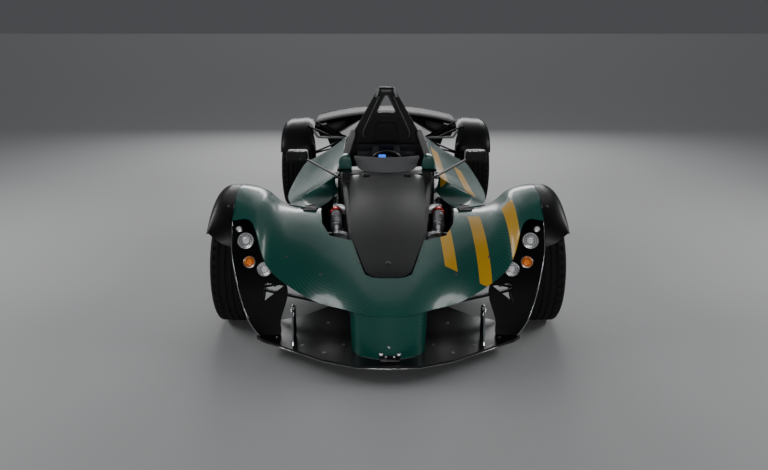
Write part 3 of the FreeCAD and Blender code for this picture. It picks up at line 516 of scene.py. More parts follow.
def painted(name, base, rough, coat, grain=260.0, relief=0.00006, coat_rough=0.2, shine=0.3):
    """Paint with a fine grain and a slow drift of tone."""
    finish = Finish(name, {"Coat Weight": coat, "Coat Roughness": coat_rough, "Specular IOR Level": shine})
    cloud = finish.noise(5.0)
    fine = finish.noise(grain, 2.0)
    tone = cloud * 0.6 + fine * 0.4
    colour = finish.ramp(tone, [(0.25, tuple(c * 0.8 for c in base)), (0.75, tuple(c * 1.22 for c in base))])
    finish.feed("Base Color", colour)
    finish.feed("Roughness", finish.between(cloud, rough - 0.06, rough + 0.06))
    finish.relief(fine, relief)
    return finish.material


satin_charcoal = painted("satin_charcoal", (0.0040, 0.0050, 0.0062), 0.34, 0.0, 420.0, shine=0.2)
satin_black = painted("satin_black", (0.0045, 0.0045, 0.0052), 0.42, 0.1, 320.0)
vane_black = painted("vane_black", (0.0020, 0.0020, 0.0024), 0.46, 0.0, 320.0, shine=0.12)
gloss_black = painted("gloss_black", (0.006, 0.006, 0.007), 0.3, 1.0, 200.0, 0.00001, 0.02)
seat_cloth = painted("seat_cloth", (0.020, 0.020, 0.021), 0.92, 0.0, 900.0, 0.0004)


def rubber(name):
    """Tyre rubber, dusted where it has rolled."""
    finish = Finish(name, {"Specular IOR Level": 0.35})
    cloud = finish.noise(14.0)
    fine = finish.noise(700.0, 2.0)
    colour = finish.ramp(cloud * 0.7 + fine * 0.3, [(0.3, (0.0045, 0.0045, 0.0045)),
        (0.75, (0.012, 0.0115, 0.011))])
    finish.feed("Base Color", colour)
    finish.feed("Roughness", finish.between(cloud, 0.72, 0.92))
    finish.relief(fine, 0.0002)
    return finish.material


def metal(name, base, rough, stretch=(1, 1, 40), scale=30.0, relief=0.00003, spread=0.12):
    """Metal with fine machining marks along one axis."""
    finish = Finish(name, {"Metallic": 1.0})
    marks = finish.noise(scale, 4.0, 0.6, stretch)
    cloud = finish.noise(9.0)
    tone = marks * 0.6 + cloud * 0.4
    colour = finish.ramp(tone, [(0.25, tuple(c * 0.82 for c in base)),
        (0.75, tuple(min(c * 1.1, 1) for c in base))])
    finish.feed("Base Color", colour)
    finish.feed("Roughness", finish.between(tone, rough - spread / 2, rough + spread / 2))
    finish.relief(marks, relief)
    return finish.material


rubber_black = rubber("rubber_black")
dark_rim = metal("dark_rim", (0.06, 0.06, 0.064), 0.38)
steel = metal("steel", (0.46, 0.46, 0.47), 0.32)
dark_steel = metal("dark_steel", (0.09, 0.09, 0.095), 0.42)
alloy = metal("alloy", (0.62, 0.62, 0.64), 0.3)
cast_alloy = metal("cast_alloy", (0.30, 0.30, 0.31), 0.55, (1, 1, 1), 160.0, 0.0003)
chrome = metal("chrome", (0.85, 0.86, 0.88), 0.08, (1, 1, 1), 20.0, 0.0, 0.04)
red_anodised = metal("red_anodised", (0.62, 0.03, 0.02), 0.3)


def belt_webbing(name):
    """Woven strap: fine cross ribs with a herringbone drift."""
    finish = Finish(name, {"Sheen Weight": 0.3, "Sheen Roughness": 0.4})
    x, y, z = finish.place()
    rib = ((y + z) * 2400.0).sine() * 0.5 + 0.5
    lean = ((x + y * 0.5 + z * 0.5) * 900.0).sine() * 0.5 + 0.5
    tone = rib * 0.5 + lean * 0.3 + finish.noise(30.0) * 0.3
    finish.feed("Base Color", finish.ramp(tone, [(0.2, (0.030, 0.030, 0.032)), (0.9, (0.11, 0.11, 0.115))]))
    finish.feed("Roughness", finish.between(rib, 0.75, 0.9))
    finish.relief(rib * 0.6 + lean * 0.4, 0.0003)
    return finish.material


webbing = belt_webbing("webbing")


def see_through(name, colour, rough=0.02):
    """Clear or tinted plastic that lets light through."""
    finish = Finish(name, {"Transmission Weight": 1.0, "IOR": 1.45, "Base Color": (*colour, 1)})
    finish.feed("Roughness", finish.between(finish.noise(40.0), rough, rough + 0.03))
    return finish.material


clear_lens = see_through("clear_lens", (0.97, 0.98, 1.0))
amber_lens = see_through("amber_lens", (1.0, 0.62, 0.28), 0.04)
red_lens = see_through("red_lens", (0.8, 0.02, 0.015), 0.05)
satin_splitter = painted("satin_splitter", (0.006, 0.006, 0.007), 0.34, 0.25, 300.0, 0.00002, 0.22)
hoop_black = painted("hoop_black", (0.0042, 0.0042, 0.0048), 0.5, 0.0, 360.0)
lamp_silver = metal("lamp_silver", (0.92, 0.93, 0.95), 0.26, (1, 1, 1), 40.0, 0.0, 0.08)
smoked_screen = painted("smoked_screen", (0.17, 0.17, 0.18), 0.42, 0.25, 500.0, 0.00001, 0.18)


def glowing(name, colour, strength):
    """A lit filament or screen."""
    finish = Finish(name, {"Emission Strength": strength, "Roughness": 0.3})
    tone = finish.noise(60.0)
    glow = finish.ramp(tone, [(0.3, tuple(c * 0.8 for c in colour)), (0.7, colour)])
    finish.feed("Base Color", glow)
    finish.feed("Emission Color", glow)
    return finish.material


amber_glow = glowing("amber_glow", (1.0, 0.42, 0.10), 0.5)
lamp_glow = glowing("lamp_glow", (1.0, 0.98, 0.95), 0.35)
dull_steel = metal("dull_steel", (0.22, 0.22, 0.23), 0.42, (1, 1, 1), 60.0)
blue_anodised = metal("blue_anodised", (0.02, 0.12, 0.62), 0.3)
# Grey for a rotary knob and the hoop's crown plate, and the painted highlight on the hoop's ribs, its window
# bead and the rear arches' beads
grey_and_painted_highlight = painted("grey_and_painted_highlight", (0.085, 0.086, 0.09), 0.38, 0.2, 320.0)
pale_grey = painted("pale_grey", (0.34, 0.345, 0.35), 0.4, 0.2, 320.0)
button_red = painted("button_red", (0.55, 0.02, 0.015), 0.35, 0.3, 400.0)
button_blue = painted("button_blue", (0.02, 0.09, 0.50), 0.35, 0.3, 400.0)
button_pale = painted("button_pale", (0.62, 0.62, 0.60), 0.4, 0.3, 400.0)
spring_silver = metal("spring_silver", (0.50, 0.50, 0.52), 0.36, (1, 1, 1), 60.0)
crackle_black = painted("crackle_black", (0.012, 0.012, 0.013), 0.62, 0.0, 700.0, 0.0006)
burnt_steel = metal("burnt_steel", (0.36, 0.30, 0.25), 0.36, (1, 1, 1), 14.0)


def patterned(name, pattern, low, high, depth):
    """A surface of small cells: pattern gives 0 in a cell's hollow and 1 on its walls; the hollows take the
    low colour as painted shade.
    """
    finish = Finish(name, {"Specular IOR Level": 0.3})
    level = pattern(finish)
    fleck = finish.noise(300.0, 2.0)
    # Painted shade: the hollows take the near-black low colour, and the walls take the high colour with a
    # random fleck
    finish.feed("Base Color", finish.blend(level, shade(low), finish.ramp(fleck,
        [(0.2, shade(high * 0.85)), (0.8, shade(high))])))
    finish.feed("Roughness", finish.between(level, 0.95, 0.6))
    finish.relief(level, depth)
    return finish.material


def mesh_cells(finish):
    """Staggered rows of round holes."""
    x, _, z = finish.place()
    row = z / 0.009
    column = x / 0.010 + (row.floor() % 2.0) * 0.5
    across = column % 1.0 - 0.5
    up = row % 1.0 - 0.5
    return (across * across + up * up) > 0.13


def fin_cells(finish):
    """Upright rows of thin folded fins."""
    x, _, z = finish.place()
    zigzag = abs((z / 0.006) % 1.0 - 0.5)
    return ((x / 0.009) % 1.0 - 0.5 + zigzag * 0.4 * ((x / 0.009).floor() % 2.0 - 0.5)) > 0.12


# The grille's holes and the gaps between the fins are painted near black as painted shade
grille = patterned("grille", mesh_cells, 0.001, 0.012, 0.002)
fins = patterned("fins", fin_cells, 0.01, 0.30, 0.001)
blue_display = glowing("blue_display", (0.04, 0.18, 0.9), 1.6)

NODE_FINISH = {
    "floor_pan": carbon_dark, "front_splitter": satin_splitter, "tub": carbon_dark, "nose_cone": carbon_green,
    "nose_shell": carbon_green_wing, "hatch_lid": satin_charcoal, "scuttle": gloss_black,
    "windscreen": smoked_screen, "dashboard": satin_black, "steering_wheel": satin_black,
    "steering_rack": steel, "seat_shell": carbon_dark, "headrest": seat_cloth, "roll_hoop": hoop_black,
    "hoop_panel": hoop_black, "headlamps": clear_lens, "indicators": amber_lens,
    "engine_cover": satin_black, "rear_wing": hoop_black, "tail_panel": satin_black, "rear_lamps": red_lens,
    "rear_frame": satin_black, "engine_block": cast_alloy, "gearbox": cast_alloy, "exhaust": steel,
    "diffuser": carbon_dark, "mirrors": satin_black, "front_dampers": alloy, "front_arms": dark_steel,
    "rear_arms": dark_steel, "side_pod_left": carbon_green_pod, "side_pod_right": carbon_green,
}
for side, _ in SIDES:
    NODE_FINISH.update({
        "front_arch_" + side: satin_black, "lamp_panel_" + side: vane_black, "rear_arch_" + side: satin_black,
        "knuckle_" + side: alloy, "front_tyre_" + side: rubber_black, "front_rim_" + side: dark_rim,
        "front_disc_" + side: steel, "rear_tyre_" + side: rubber_black, "rear_rim_" + side: dark_rim,
        "rear_disc_" + side: steel,
    })


def finish_nodes():
    """Gives every CAD node its finish."""
    for name, finish in NODE_FINISH.items():
        slots = nodes[name].material_slots
        for entry in slots:
            entry.material = finish
        if not slots:
            nodes[name].data.materials.append(finish)


# Camera, light and floor: the camera as fitted to the photograph, in pixels and degrees

PHOTO_WIDTH, FOCAL_LENGTH, CENTRE_SHIFT = 768, 707, 2
SENSOR = 36
LOOKING_DOWN = 16.45


def studio():
    """The photograph's viewpoint, a pale floor and soft light."""
    view = bpy.data.cameras.new("viewpoint")
    view.sensor_width = SENSOR
    view.lens = SENSOR * FOCAL_LENGTH / PHOTO_WIDTH
    view.shift_x = CENTRE_SHIFT / PHOTO_WIDTH
    camera = bpy.data.objects.new("viewpoint", view)
    camera.location = (-0.03, FRONT_AXLE - 3.58, 1.515)
    camera.rotation_euler = (math.radians(90 - LOOKING_DOWN), 0, 0)
    bpy.context.collection.objects.link(camera)
    bpy.context.scene.camera = camera

    clear_selection()
    bpy.ops.mesh.primitive_plane_add(size=300, location=(0, 0, 0))
    floor = named("studio_floor")
    pale = Finish("pale_floor", {"Specular IOR Level": 0.3})
    grain = pale.noise(160.0, 2.0)
    pale.feed("Base Color", pale.ramp(grain, [(0.3, (0.56, 0.565, 0.57)), (0.7, (0.62, 0.62, 0.625))]))
    pale.feed("Roughness", pale.between(grain, 0.5, 0.62))
    floor.data.materials.append(pale.material)

    world = bpy.data.worlds.new("studio")
    bpy.context.scene.world = world
    world.use_nodes = True
    sky = world.node_tree.nodes["Background"]
    sky.inputs[0].default_value = (0.72, 0.75, 0.8, 1)
    sky.inputs[1].default_value = 0.10
    lamps = [
        ("over_tail", (0.0, 5.2, 2.5), (0, -0.4, 0.5), (5.0, 0.9), 120),
        ("front_fill", (0.0, -6.4, 1.0), (0, -1.2, 0.4), (3.0, 0.5), 45),
        ("left_wall", (4.2, -0.6, 2.6), (0, -0.6, 0.4), (3.4, 0.7), 60),
        ("right_wall", (-4.2, -0.6, 2.6), (0, -0.6, 0.4), (3.4, 0.7), 60),
    ]
    for name, place, target, size, power in lamps:
        light = bpy.data.lights.new(name, "AREA")
        light.shape = "RECTANGLE"
        light.size, light.size_y = size
        light.energy = power
        holder = bpy.data.objects.new(name, light)
        holder.location = place
        holder.rotation_euler = (Vector(target) - Vector(place)).to_track_quat("-Z", "Y").to_euler()
        bpy.context.collection.objects.link(holder)
    light = bpy.data.lights.new("soft_sun", "SUN")
    light.energy = 0.3
    light.angle = math.radians(50)
    holder = bpy.data.objects.new("soft_sun", light)
    holder.rotation_euler = Vector((0, -1.0, -0.95)).to_track_quat("-Z", "Y").to_euler()
    bpy.context.collection.objects.link(holder)


# Wheels

BEAD_RADIUS = 0.2165
# Degrees round the tyre
BLOCK_PITCH, BLOCK_LENGTH = 9, 4.4


def tyre(name, hub, radius, width, body):
    """A tyre with a raised rim guard, four grooves round it and cut shoulders."""
    half = width / 2
    tread = half - 0.022
    profile = [
        (-half + 0.0093, BEAD_RADIUS), (-half + 0.0093, 0.2245), (-half + 0.004, 0.2265),
        (-half + 0.001, 0.236), (-half, radius - 0.052), (-half + 0.001, radius - 0.034),
        (-half + 0.005, radius - 0.018), (-half + 0.013, radius - 0.006),
    ]
    grooves = [-tread * 0.62, -tread * 0.2, tread * 0.2, tread * 0.62]
    crown = [(-tread, radius - 0.0015)]
    for g in grooves:
        rise = radius - 0.0012 * (abs(g) / tread)
        crown += [(g - 0.0055, rise), (g - 0.004, rise - 0.006), (g + 0.004, rise - 0.006),
            (g + 0.0055, rise)]
    crown.append((tread, radius - 0.0015))
    other = [(-a, r) for a, r in reversed(profile)]
    bore = [(half - 0.028, BEAD_RADIUS), (0, radius - 0.02), (-half + 0.028, BEAD_RADIUS)]
    obj = lathe(name, profile + crown + other + bore, hub, ACROSS, 80, True)
    axle = Vector((0, hub.y, hub.z))

    def shoulder_block(centre, _):
        """One block in each pitch of the outer two tread bands."""
        arm = Vector((0, centre.y, centre.z)) - axle
        turn = math.degrees(math.atan2(arm.z, arm.y)) % BLOCK_PITCH
        in_band = tread * 0.66 < abs(centre.x - hub.x) < tread
        return in_band and arm.length > radius - 0.012 and turn < BLOCK_LENGTH

    faces(obj, shoulder_block)
    bpy.ops.mesh.inset(thickness=0.0035, depth=-0.004, use_individual=True)
    out()
    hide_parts(name.replace("tyre_tread", "tyre"))
    return smooth(fit(obj, rubber_black, body), 28)


def tyres():
    """All four tyres."""
    for side, sign in SIDES:
        for place, hub, radius, width in (("front", FRONT_HUB, FRONT_RADIUS, 0.205),
                ("rear", REAR_HUB, REAR_RADIUS, 0.245)):
            middle = Vector((hub.x * sign, hub.y, hub.z))
            tyre(place + "_tyre_tread_" + side, middle, radius, width, place + "_wheel_" + side)


# Lamps

LAMP_TILT = math.radians(30)
LAMP_WAY = Vector((0, -math.cos(LAMP_TILT), math.sin(LAMP_TILT)))


def round_lamp(name, middle, radius, lens, inner):
    """A round lamp of one side: bezel, stepped reflector, inner ring and domed lens."""
    bowl = lathe(name + "_bowl", [
        (0.004, radius - 0.0006), (0.0075, radius - 0.0006), (0.0085, radius - 0.003),
        (0.005, radius - 0.0065), (-0.004, radius * 0.7), (-0.003, radius * 0.62), (-0.009, radius * 0.58),
        (-0.0125, radius * 0.2), (-0.0125, 0), (-0.0129, 0), (-0.0129, radius - 0.0006),
    ], middle, LAMP_WAY, 40)
    smooth(bowl, 30)
    ring = lathe(name + "_ring", [
        (-0.002, radius * 0.5), (0.003, radius * 0.52), (0.0045, radius * 0.48), (0.0035, radius * 0.43),
        (-0.002, radius * 0.42),
    ], middle - LAMP_WAY * 0.003, LAMP_WAY, 36, True)
    smooth(ring, 40)
    glass = lathe(name + "_lens", [
        (0.0055, radius - 0.004), (0.0085, radius * 0.75), (0.0115, radius * 0.4), (0.0126, 0), (0.0106, 0),
        (0.0096, radius * 0.4), (0.0066, radius * 0.74), (0.0045, radius - 0.006),
    ], middle, LAMP_WAY, 40)
    smooth(glass, 40)
    bulb = lathe(name + "_bulb", [
        (-0.012, radius * 0.27), (-0.002, radius * 0.27), (0.0005, radius * 0.23), (0.003, radius * 0.14),
        (0.004, 0), (-0.012, 0),
    ], middle, LAMP_WAY, 28)
    smooth(bulb, 40)
    both_sides(bowl, lamp_silver)
    both_sides(ring, lamp_silver)
    both_sides(bulb, inner)
    return both_sides(glass, lens)


def lamps():
    """The lamps in both vanes."""
    first = None
    for i, (place, radius) in enumerate((((0.698, -0.263, 0.506), 0.041), ((0.602, -0.326, 0.381), 0.036),
            ((0.73, -0.247, 0.561), 0.015))):
        pair = round_lamp("headlamp_" + "abc"[i], spot(*place), radius, clear_lens, lamp_glow)
        first = first or pair[0]
    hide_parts("headlamps")
    pair = round_lamp("indicator", spot(0.676, -0.312, 0.412), 0.03, amber_lens, amber_glow)
    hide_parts("indicators")


def ring_of(obj, count, centre, axis):
    """The piece and its copies turned about an axis, as one piece."""
    name = obj.name
    made = [obj]
    for i in range(1, count):
        turn = Matrix.Translation(centre) @ Matrix.Rotation(2 * math.pi * i / count, 4, axis) \
            @ Matrix.Translation(-centre)
        made.append(copied(obj, name + "_copy", turn))
    return joined(made, name)


def bolt(name, place, way, radius, head=0.004):
    """A socket-head bolt."""
    place, way = Vector(place), Vector(way).normalized()
    return lathe(name, [
        (0, 0), (0, radius), (head * 0.8, radius), (head, radius * 0.88), (head, radius * 0.5),
        (head * 0.4, radius * 0.45), (head * 0.4, 0),
    ], place, way, 12)


def bolts(name, places, way, radius, finish):
    """A set of bolts as one piece on each side."""
    both_sides(smooth(joined([bolt(name, p, way, radius) for p in places], name), 30), finish)


# Dampers

def damper():
    """The front damper: body, threaded collar, coil spring, shaft, adjuster and its two clevises."""
    low, high = spot(0.272, 0.06, 0.44), spot(0.3, 0.42, 0.5)
    way = (high - low).normalized()
    reach = (high - low).length
    threads = [(0.1 * reach + i * 0.0035, 0.0215 - 0.0012 * (i % 2)) for i in range(22)]
    body = lathe("damper_body", [
        (-0.012, 0), (-0.012, 0.012), (0.012, 0.017), (0.018, 0.0185), (0.095 * reach, 0.0185), *threads,
        (0.55 * reach, 0.0205), (0.57 * reach, 0.018), (0.575 * reach, 0.0075), (0.95 * reach, 0.0075),
        (0.95 * reach, 0),
    ], low, way, 32)
    both_sides(smooth(body, 40), alloy)
    collar = lathe("damper_collar", [
        (0.24 * reach, 0.0218), (0.24 * reach, 0.0285), (0.245 * reach, 0.0295), (0.262 * reach, 0.0295),
        (0.267 * reach, 0.0325), (0.275 * reach, 0.0325), (0.278 * reach, 0.0218),
    ], low, way, 32, True)
    both_sides(smooth(collar, 30), alloy)
    cap = lathe("damper_cap", [
        (0.735 * reach, 0.0078), (0.735 * reach, 0.0345), (0.745 * reach, 0.0365), (0.785 * reach, 0.0365),
        (0.8 * reach, 0.032), (0.86 * reach, 0.029), (0.88 * reach, 0.014), (0.985 * reach, 0.013),
        (0.985 * reach, 0.0078),
    ], low, way, 32, True)
    cap_left, _ = both_sides(smooth(cap, 30), red_anodised)
    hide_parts("front_dampers")
    side = way.orthogonal().normalized()
    other = way.cross(side)
    turns, per_turn = 6, 12
    line = []
    for i in range(turns * per_turn + 1):
        angle = 2 * math.pi * i / per_turn
        along = (0.285 + (0.725 - 0.285) * i / (turns * per_turn)) * reach
        line.append(low + way * along + (side * math.cos(angle) + other * math.sin(angle)) * 0.0295)
    spring = tube("damper_spring", line, 0.0048, sides=2)
    both_sides(spring, spring_silver)
    for tag, end, foot in (("front", low, 0.196), ("rear", high, 0.222)):
        cheek = block("damper_clevis_" + tag, end + Vector((-0.03, -0.019, -0.026)),
            end + Vector((0.016, -0.014, 0.018)))
        faces(cheek, looking("-x"))
        reach_in = Vector((foot - end.x + 0.034, 0, -0.018))
        bpy.ops.mesh.extrude_region_move(TRANSFORM_OT_translate={"value": reach_in})
        out()
        outward(cheek)
        twin = copied(cheek, cheek.name + "_b", Matrix.Translation((0, 0.033, 0)))
        pin = bar(cheek.name + "_pin", end + Vector((0, -0.024, 0)), end + Vector((0, 0.024, 0)), 0.007, 16)
        clevis = joined([cheek, twin, pin], "damper_clevis_" + tag)
        both_sides(smooth(rounded(clevis, 0.0015, 2, 50), 40), alloy)


# Wheels and brakes

def rim_face(name, hub, half, body):
    """A wheel of the left side: stepped barrel, ten tapered spokes with pockets, hub and nuts."""
    barrel = lathe(name, [
        (-half + 0.0005, 0.21), (-half, 0.2235), (-half + 0.0075, 0.2235), (-half + 0.0085, 0.2155),
        (-half + 0.03, 0.2155), (-half + 0.034, 0.205), (half - 0.034, 0.205), (half - 0.03, 0.2155),
        (half - 0.0085, 0.2155), (half - 0.0075, 0.2235), (half, 0.2235), (half - 0.0005, 0.211),
        (half - 0.012, 0.206), (half - 0.028, 0.2005), (-half + 0.03, 0.2005), (-half + 0.022, 0.2095),
    ], hub, ACROSS, 72, True)
    spoke = block(name + "_spoke", hub + Vector((0.033, -0.016, 0.04)), hub + Vector((0.05, 0.016, 0.202)))
    faces(spoke, looking("+z"))
    bpy.ops.transform.resize(value=(1, 0.62, 1))
    out()
    faces(spoke, looking("+z"))
    bpy.ops.transform.translate(value=(0.012 if half > 0.11 else 0.006, 0, 0))
    out()
    for reach in (1, -1):
        faces(spoke, lambda c, n: n.x * reach > 0.5)
        bpy.ops.mesh.inset(thickness=0.0045, depth=-0.005 if reach > 0 else 0)
        out()
    spoke = ring_of(rounded(spoke, 0.0018, 2, 40), 10, hub, "X")
    centre = lathe(name + "_centre", [
        (0.03, 0.0245), (0.03, 0.058), (0.036, 0.062), (0.046, 0.062), (0.052, 0.056), (0.048, 0.05),
        (0.046, 0.034), (0.052, 0.031), (0.058, 0.029), (0.058, 0.0245),
    ], hub, ACROSS, 40, True)
    nut = bolt(name + "_nut", hub + Vector((0.0465, 0, 0.045)), ACROSS, 0.0075, 0.01)
    nuts = ring_of(nut, 5, hub, "X")
    wheel = joined([barrel, spoke, centre], name)
    pair = both_sides(smooth(wheel, 32), dark_rim, body)
    nuts.name = name + "_nuts"
    both_sides(smooth(nuts, 30), steel, body)
    both_sides(turned(name + "_cap", [
        (0.0585, 0), (0.0585, 0.018), (0.0565, 0.0225), (0.05, 0.024), (0.05, 0),
    ], hub, ACROSS, 24), alloy, body)
    valve = bar(name + "_valve", hub + Vector((half - 0.024, 0.02, 0.196)),
        hub + Vector((half - 0.004, 0.02, 0.19)), 0.003, 12)
    both_sides(smooth(valve, 40), steel, body)
    for entry, side in zip(pair, ("left", "right")):
        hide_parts(name.replace("rim_face", "rim_" + side))


def brakes():
    """Brake calipers with their bridges, and thin black discs on the brake discs' faces, painted as the shade
    inside drilled holes.
    """
    for place, hub, body in (("front", FRONT_HUB, "knuckle_{}"), ("rear", REAR_HUB, "chassis")):
        low = hub + Vector((-0.0575, 0.094, -0.056))
        high = hub + Vector((-0.0005, 0.15, 0.056))
        outer = block(place + "_caliper_outer", Vector((high.x - 0.016, low.y, low.z)), high)
        inset(outer, looking("+x"), (0.007, 0.003))
        inner = block("inner", Vector((low.x - 0.001, low.y, low.z)), Vector((low.x + 0.012, high.y, high.z)))
        bridge = block("bridge", Vector((low.x, hub.y + 0.155, low.z + 0.008)),
            Vector((high.x - 0.002, hub.y + 0.18, high.z - 0.008)))
        inset(bridge, looking("+y"), (0.012, -0.006))
        caliper = joined([outer, inner, bridge], place + "_caliper")
        both_sides(eased(caliper, 0.003), red_anodised, body)
        # Painted shade: thin satin black discs on the brake disc's face stand for the dark of drilled holes,
        # which are not cut
        hole = lathe(place + "_painted_hole_shade", [(0, 0), (0, 0.0042), (0.0006, 0.0048), (0.0006, 0)],
            hub + Vector((-0.0183, 0, 0.098)), ACROSS, 10)
        row = [copied(hole, "hole", Matrix.Translation((0, 0.012 * i, 0.018 * i))) for i in range(1, 3)]
        ring = ring_of(joined([hole] + row, place + "_painted_hole_shades"), 24, hub, "X")
        both_sides(ring, satin_black, place + "_wheel_{}")


def wheels():
    """All four wheels' faces."""
    rim_face("front_rim_face", FRONT_HUB, 0.1015, "front_wheel_{}")
    rim_face("rear_rim_face", REAR_HUB, 0.1215, "rear_wheel_{}")


# Trim

def vane_edge_painted_highlight():
    """The bright bead along the outer edge of the lamp vane, a painted highlight of that edge."""
    edge = [(0.62, -0.452, 0.087), (0.664, -0.433, 0.13), (0.696, -0.405, 0.2), (0.728, -0.371, 0.3),
        (0.753, -0.328, 0.4), (0.7645, -0.294, 0.47), (0.7645, -0.266, 0.54), (0.7645, -0.2265, 0.6)]
    # Painted highlight: the chrome bead stands for the light caught along the vane's outer edge
    bead = tube("vane_edge_painted_highlight", path(*edge), 0.0028, sides=2)
    both_sides(bead, chrome)


def splitter_edge():
    """The bright wear strip under the splitter's nose, and its bolts."""
    line = [(0, -0.7735), (0.14, -0.7665), (0.29, -0.7045), (0.45, -0.5945), (0.598, -0.4885)]
    strip = tube("splitter_strip", [spot(x, y, 0.0735) for x, y in line], 0.0022, sides=2, smooth_line=False)
    both_sides(strip, chrome)
    places = [spot(0.21, -0.554, 0.085), spot(0.294, -0.638, 0.085), spot(0.4, -0.56, 0.085),
        spot(0.53, -0.47, 0.085),
        spot(0.3, -0.3, 0.085)]
    bolts("splitter_bolts", places, UP, 0.008, steel)


# Cockpit

WEBBING_DEPTH = 0.0022


def ribbon(name, points, across, width):
    """A flat strap along a line of points."""
    curve = chain(name, points)
    edit()
    across = Vector(across).normalized() * width
    bpy.ops.mesh.extrude_region_move(TRANSFORM_OT_translate={"value": across})
    bpy.ops.mesh.select_all(action="SELECT")
    bpy.ops.transform.translate(value=-across / 2)
    out()
    outward(curve)
    subdivided(curve, 2)
    return smooth(thickened(curve, WEBBING_DEPTH), 50)


def harness():
    """The six-point harness: two shoulder straps, two lap straps, the crotch strap and the buckle."""
    shoulder = [(0.07, 1.424, 0.7), (0.075, 1.398, 0.692), (0.078, 1.37, 0.6), (0.076, 1.352, 0.47),
        (0.066, 1.3, 0.33), (0.045, 1.235, 0.255), (0.022, 1.19, 0.232)]
    strap = ribbon("harness_shoulder", path(*shoulder), ACROSS, 0.046)
    both_sides(strap, webbing)
    lap = [(0.196, 1.3, 0.17), (0.188, 1.27, 0.19), (0.13, 1.225, 0.222), (0.07, 1.195, 0.232),
        (0.024, 1.182, 0.231)]
    strap = ribbon("harness_lap", path(*lap), (0.15, 1, 0.5), 0.046)
    both_sides(strap, webbing)
    crotch = [(0, 1.168, 0.229), (0, 1.14, 0.21), (0, 1.1, 0.182), (0, 1.07, 0.16)]
    strap = ribbon("harness_crotch", path(*crotch), ACROSS, 0.044)
    fit(strap, webbing)
    fit(turned("harness_buckle", [
        (-0.004, 0), (-0.004, 0.03), (0.004, 0.034), (0.01, 0.032), (0.012, 0.026), (0.012, 0.02),
        (0.016, 0.018), (0.016, 0),
    ], spot(0, 1.182, 0.236), (0, -0.45, 0.9), 24), alloy)
    slide = block("harness_slide", spot(0.05, 1.362, 0.52), spot(0.104, 1.369, 0.548))
    inset(slide, looking("-y"), (0.006, -0.002))
    both_sides(smooth(rounded(slide, 0.0015), 30), steel)


def pad(name, low, high, cuts, crown):
    """A soft pad: a block divided, crowned on its outer face and rounded all over."""
    obj = block(name, low, high)
    take(obj)
    edit()
    bpy.ops.mesh.subdivide(number_cuts=cuts)
    out()
    middle = (Vector(low) + Vector(high)) / 2
    size = Vector(high) - Vector(low)
    for vert in obj.data.vertices:
        share = [2 * (vert.co[i] - middle[i]) / size[i] for i in range(3)]
        pull = [1 - 0.1 * (share[(i + 1) % 3] ** 2) * (share[(i + 2) % 3] ** 2) for i in range(3)]
        vert.co = middle + Vector([share[i] * size[i] / 2 * pull[i] for i in range(3)]) + Vector(crown) * (
            (1 - share[0] ** 2) * (1 - share[2] ** 2))
    subdivided(obj, 1)
    return smooth(obj, 80)


FRAMES, PRESSURE, VOXEL = 20, 4, 0.006


def puffed(obj, limit):
    """Swells a pad as cloth under a little pressure; no point moves further than limit."""
    modified(obj, "REMESH", mode="VOXEL", voxel_size=VOXEL)
    start = [vert.co.copy() for vert in obj.data.vertices]
    cloth = obj.modifiers.new("cloth", "CLOTH")
    cloth.settings.use_pressure = True
    cloth.settings.uniform_pressure_force = PRESSURE
    cloth.settings.effector_weights.gravity = 0
    for frame_number in range(1, FRAMES + 1):
        bpy.context.scene.frame_set(frame_number)
    bpy.ops.object.modifier_apply(modifier=cloth.name)
    for vert, place in zip(obj.data.vertices, start):
        move = vert.co - place
        if move.length > limit:
            vert.co = place + move.normalized() * limit
    bpy.context.scene.frame_set(1)
    return smooth(subdivided(obj, 1), 80)


def headrest_pad():
    """The padded head rest in place of its plain block."""
    low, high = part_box("headrest")
    obj = pad("headrest_pad", low + Vector((0.006, 0.004, 0.003)), high - Vector((0.006, 0.001, 0.004)), 7,
        (0, -0.004, 0))
    for vert in obj.data.vertices:
        rise = (vert.co.z - low.z) / (high.z - low.z)
        vert.co.x *= 1.0 - 0.3 * max(rise - 0.1, 0)
    puffed(obj, 0.003)
    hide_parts("headrest")
    fit(obj, seat_cloth)


# The station where the base bends up, the height where the back bends, the half width that is
# flat, and the rise of the bolsters outside it
BASE_BEND, BACK_BEND, FLAT_HALF, BOLSTER = 1.248, 0.44, 0.12, 0.22


def seat_pads():
    """The base pad and the back pad on the seat's shell."""
    base = pad("seat_base_pad", spot(-0.17, 1.03, 0), spot(0.17, 1.3, 0.03), 7, (0, 0, 0.004))
    for vert in base.data.vertices:
        y = vert.co.y - FRONT_AXLE
        vert.co.z += 0.172 - 0.03 * (y - 1.012) / 0.236 if y < BASE_BEND else 0.142 + (y - BASE_BEND) * 0.42
        vert.co.z += BOLSTER * max(abs(vert.co.x) - FLAT_HALF, 0)
    puffed(base, 0.005)
    fit(base, seat_cloth)
    back = pad("seat_back_pad", spot(-0.17, 0, 0.185), spot(0.17, 0.03, 0.64), 9, (0, -0.004, 0))
    for vert in back.data.vertices:
        z = vert.co.z
        lean = 1.312 + (z - 0.168) * 0.272 if z < BACK_BEND else 1.386 + (z - BACK_BEND) * 0.0955
        vert.co.y += lean - 0.034 - BOLSTER * max(abs(vert.co.x) - FLAT_HALF, 0)
    puffed(back, 0.005)
    fit(back, seat_cloth)


# Small fittings on the bodywork

def on_skin(node, x, y, z):
    """The place on a node's surface nearest to a point, and the way the surface faces there."""
    _, place, normal, _ = nodes[node].closest_point_on_mesh(spot(x, y, z))
    return place, normal


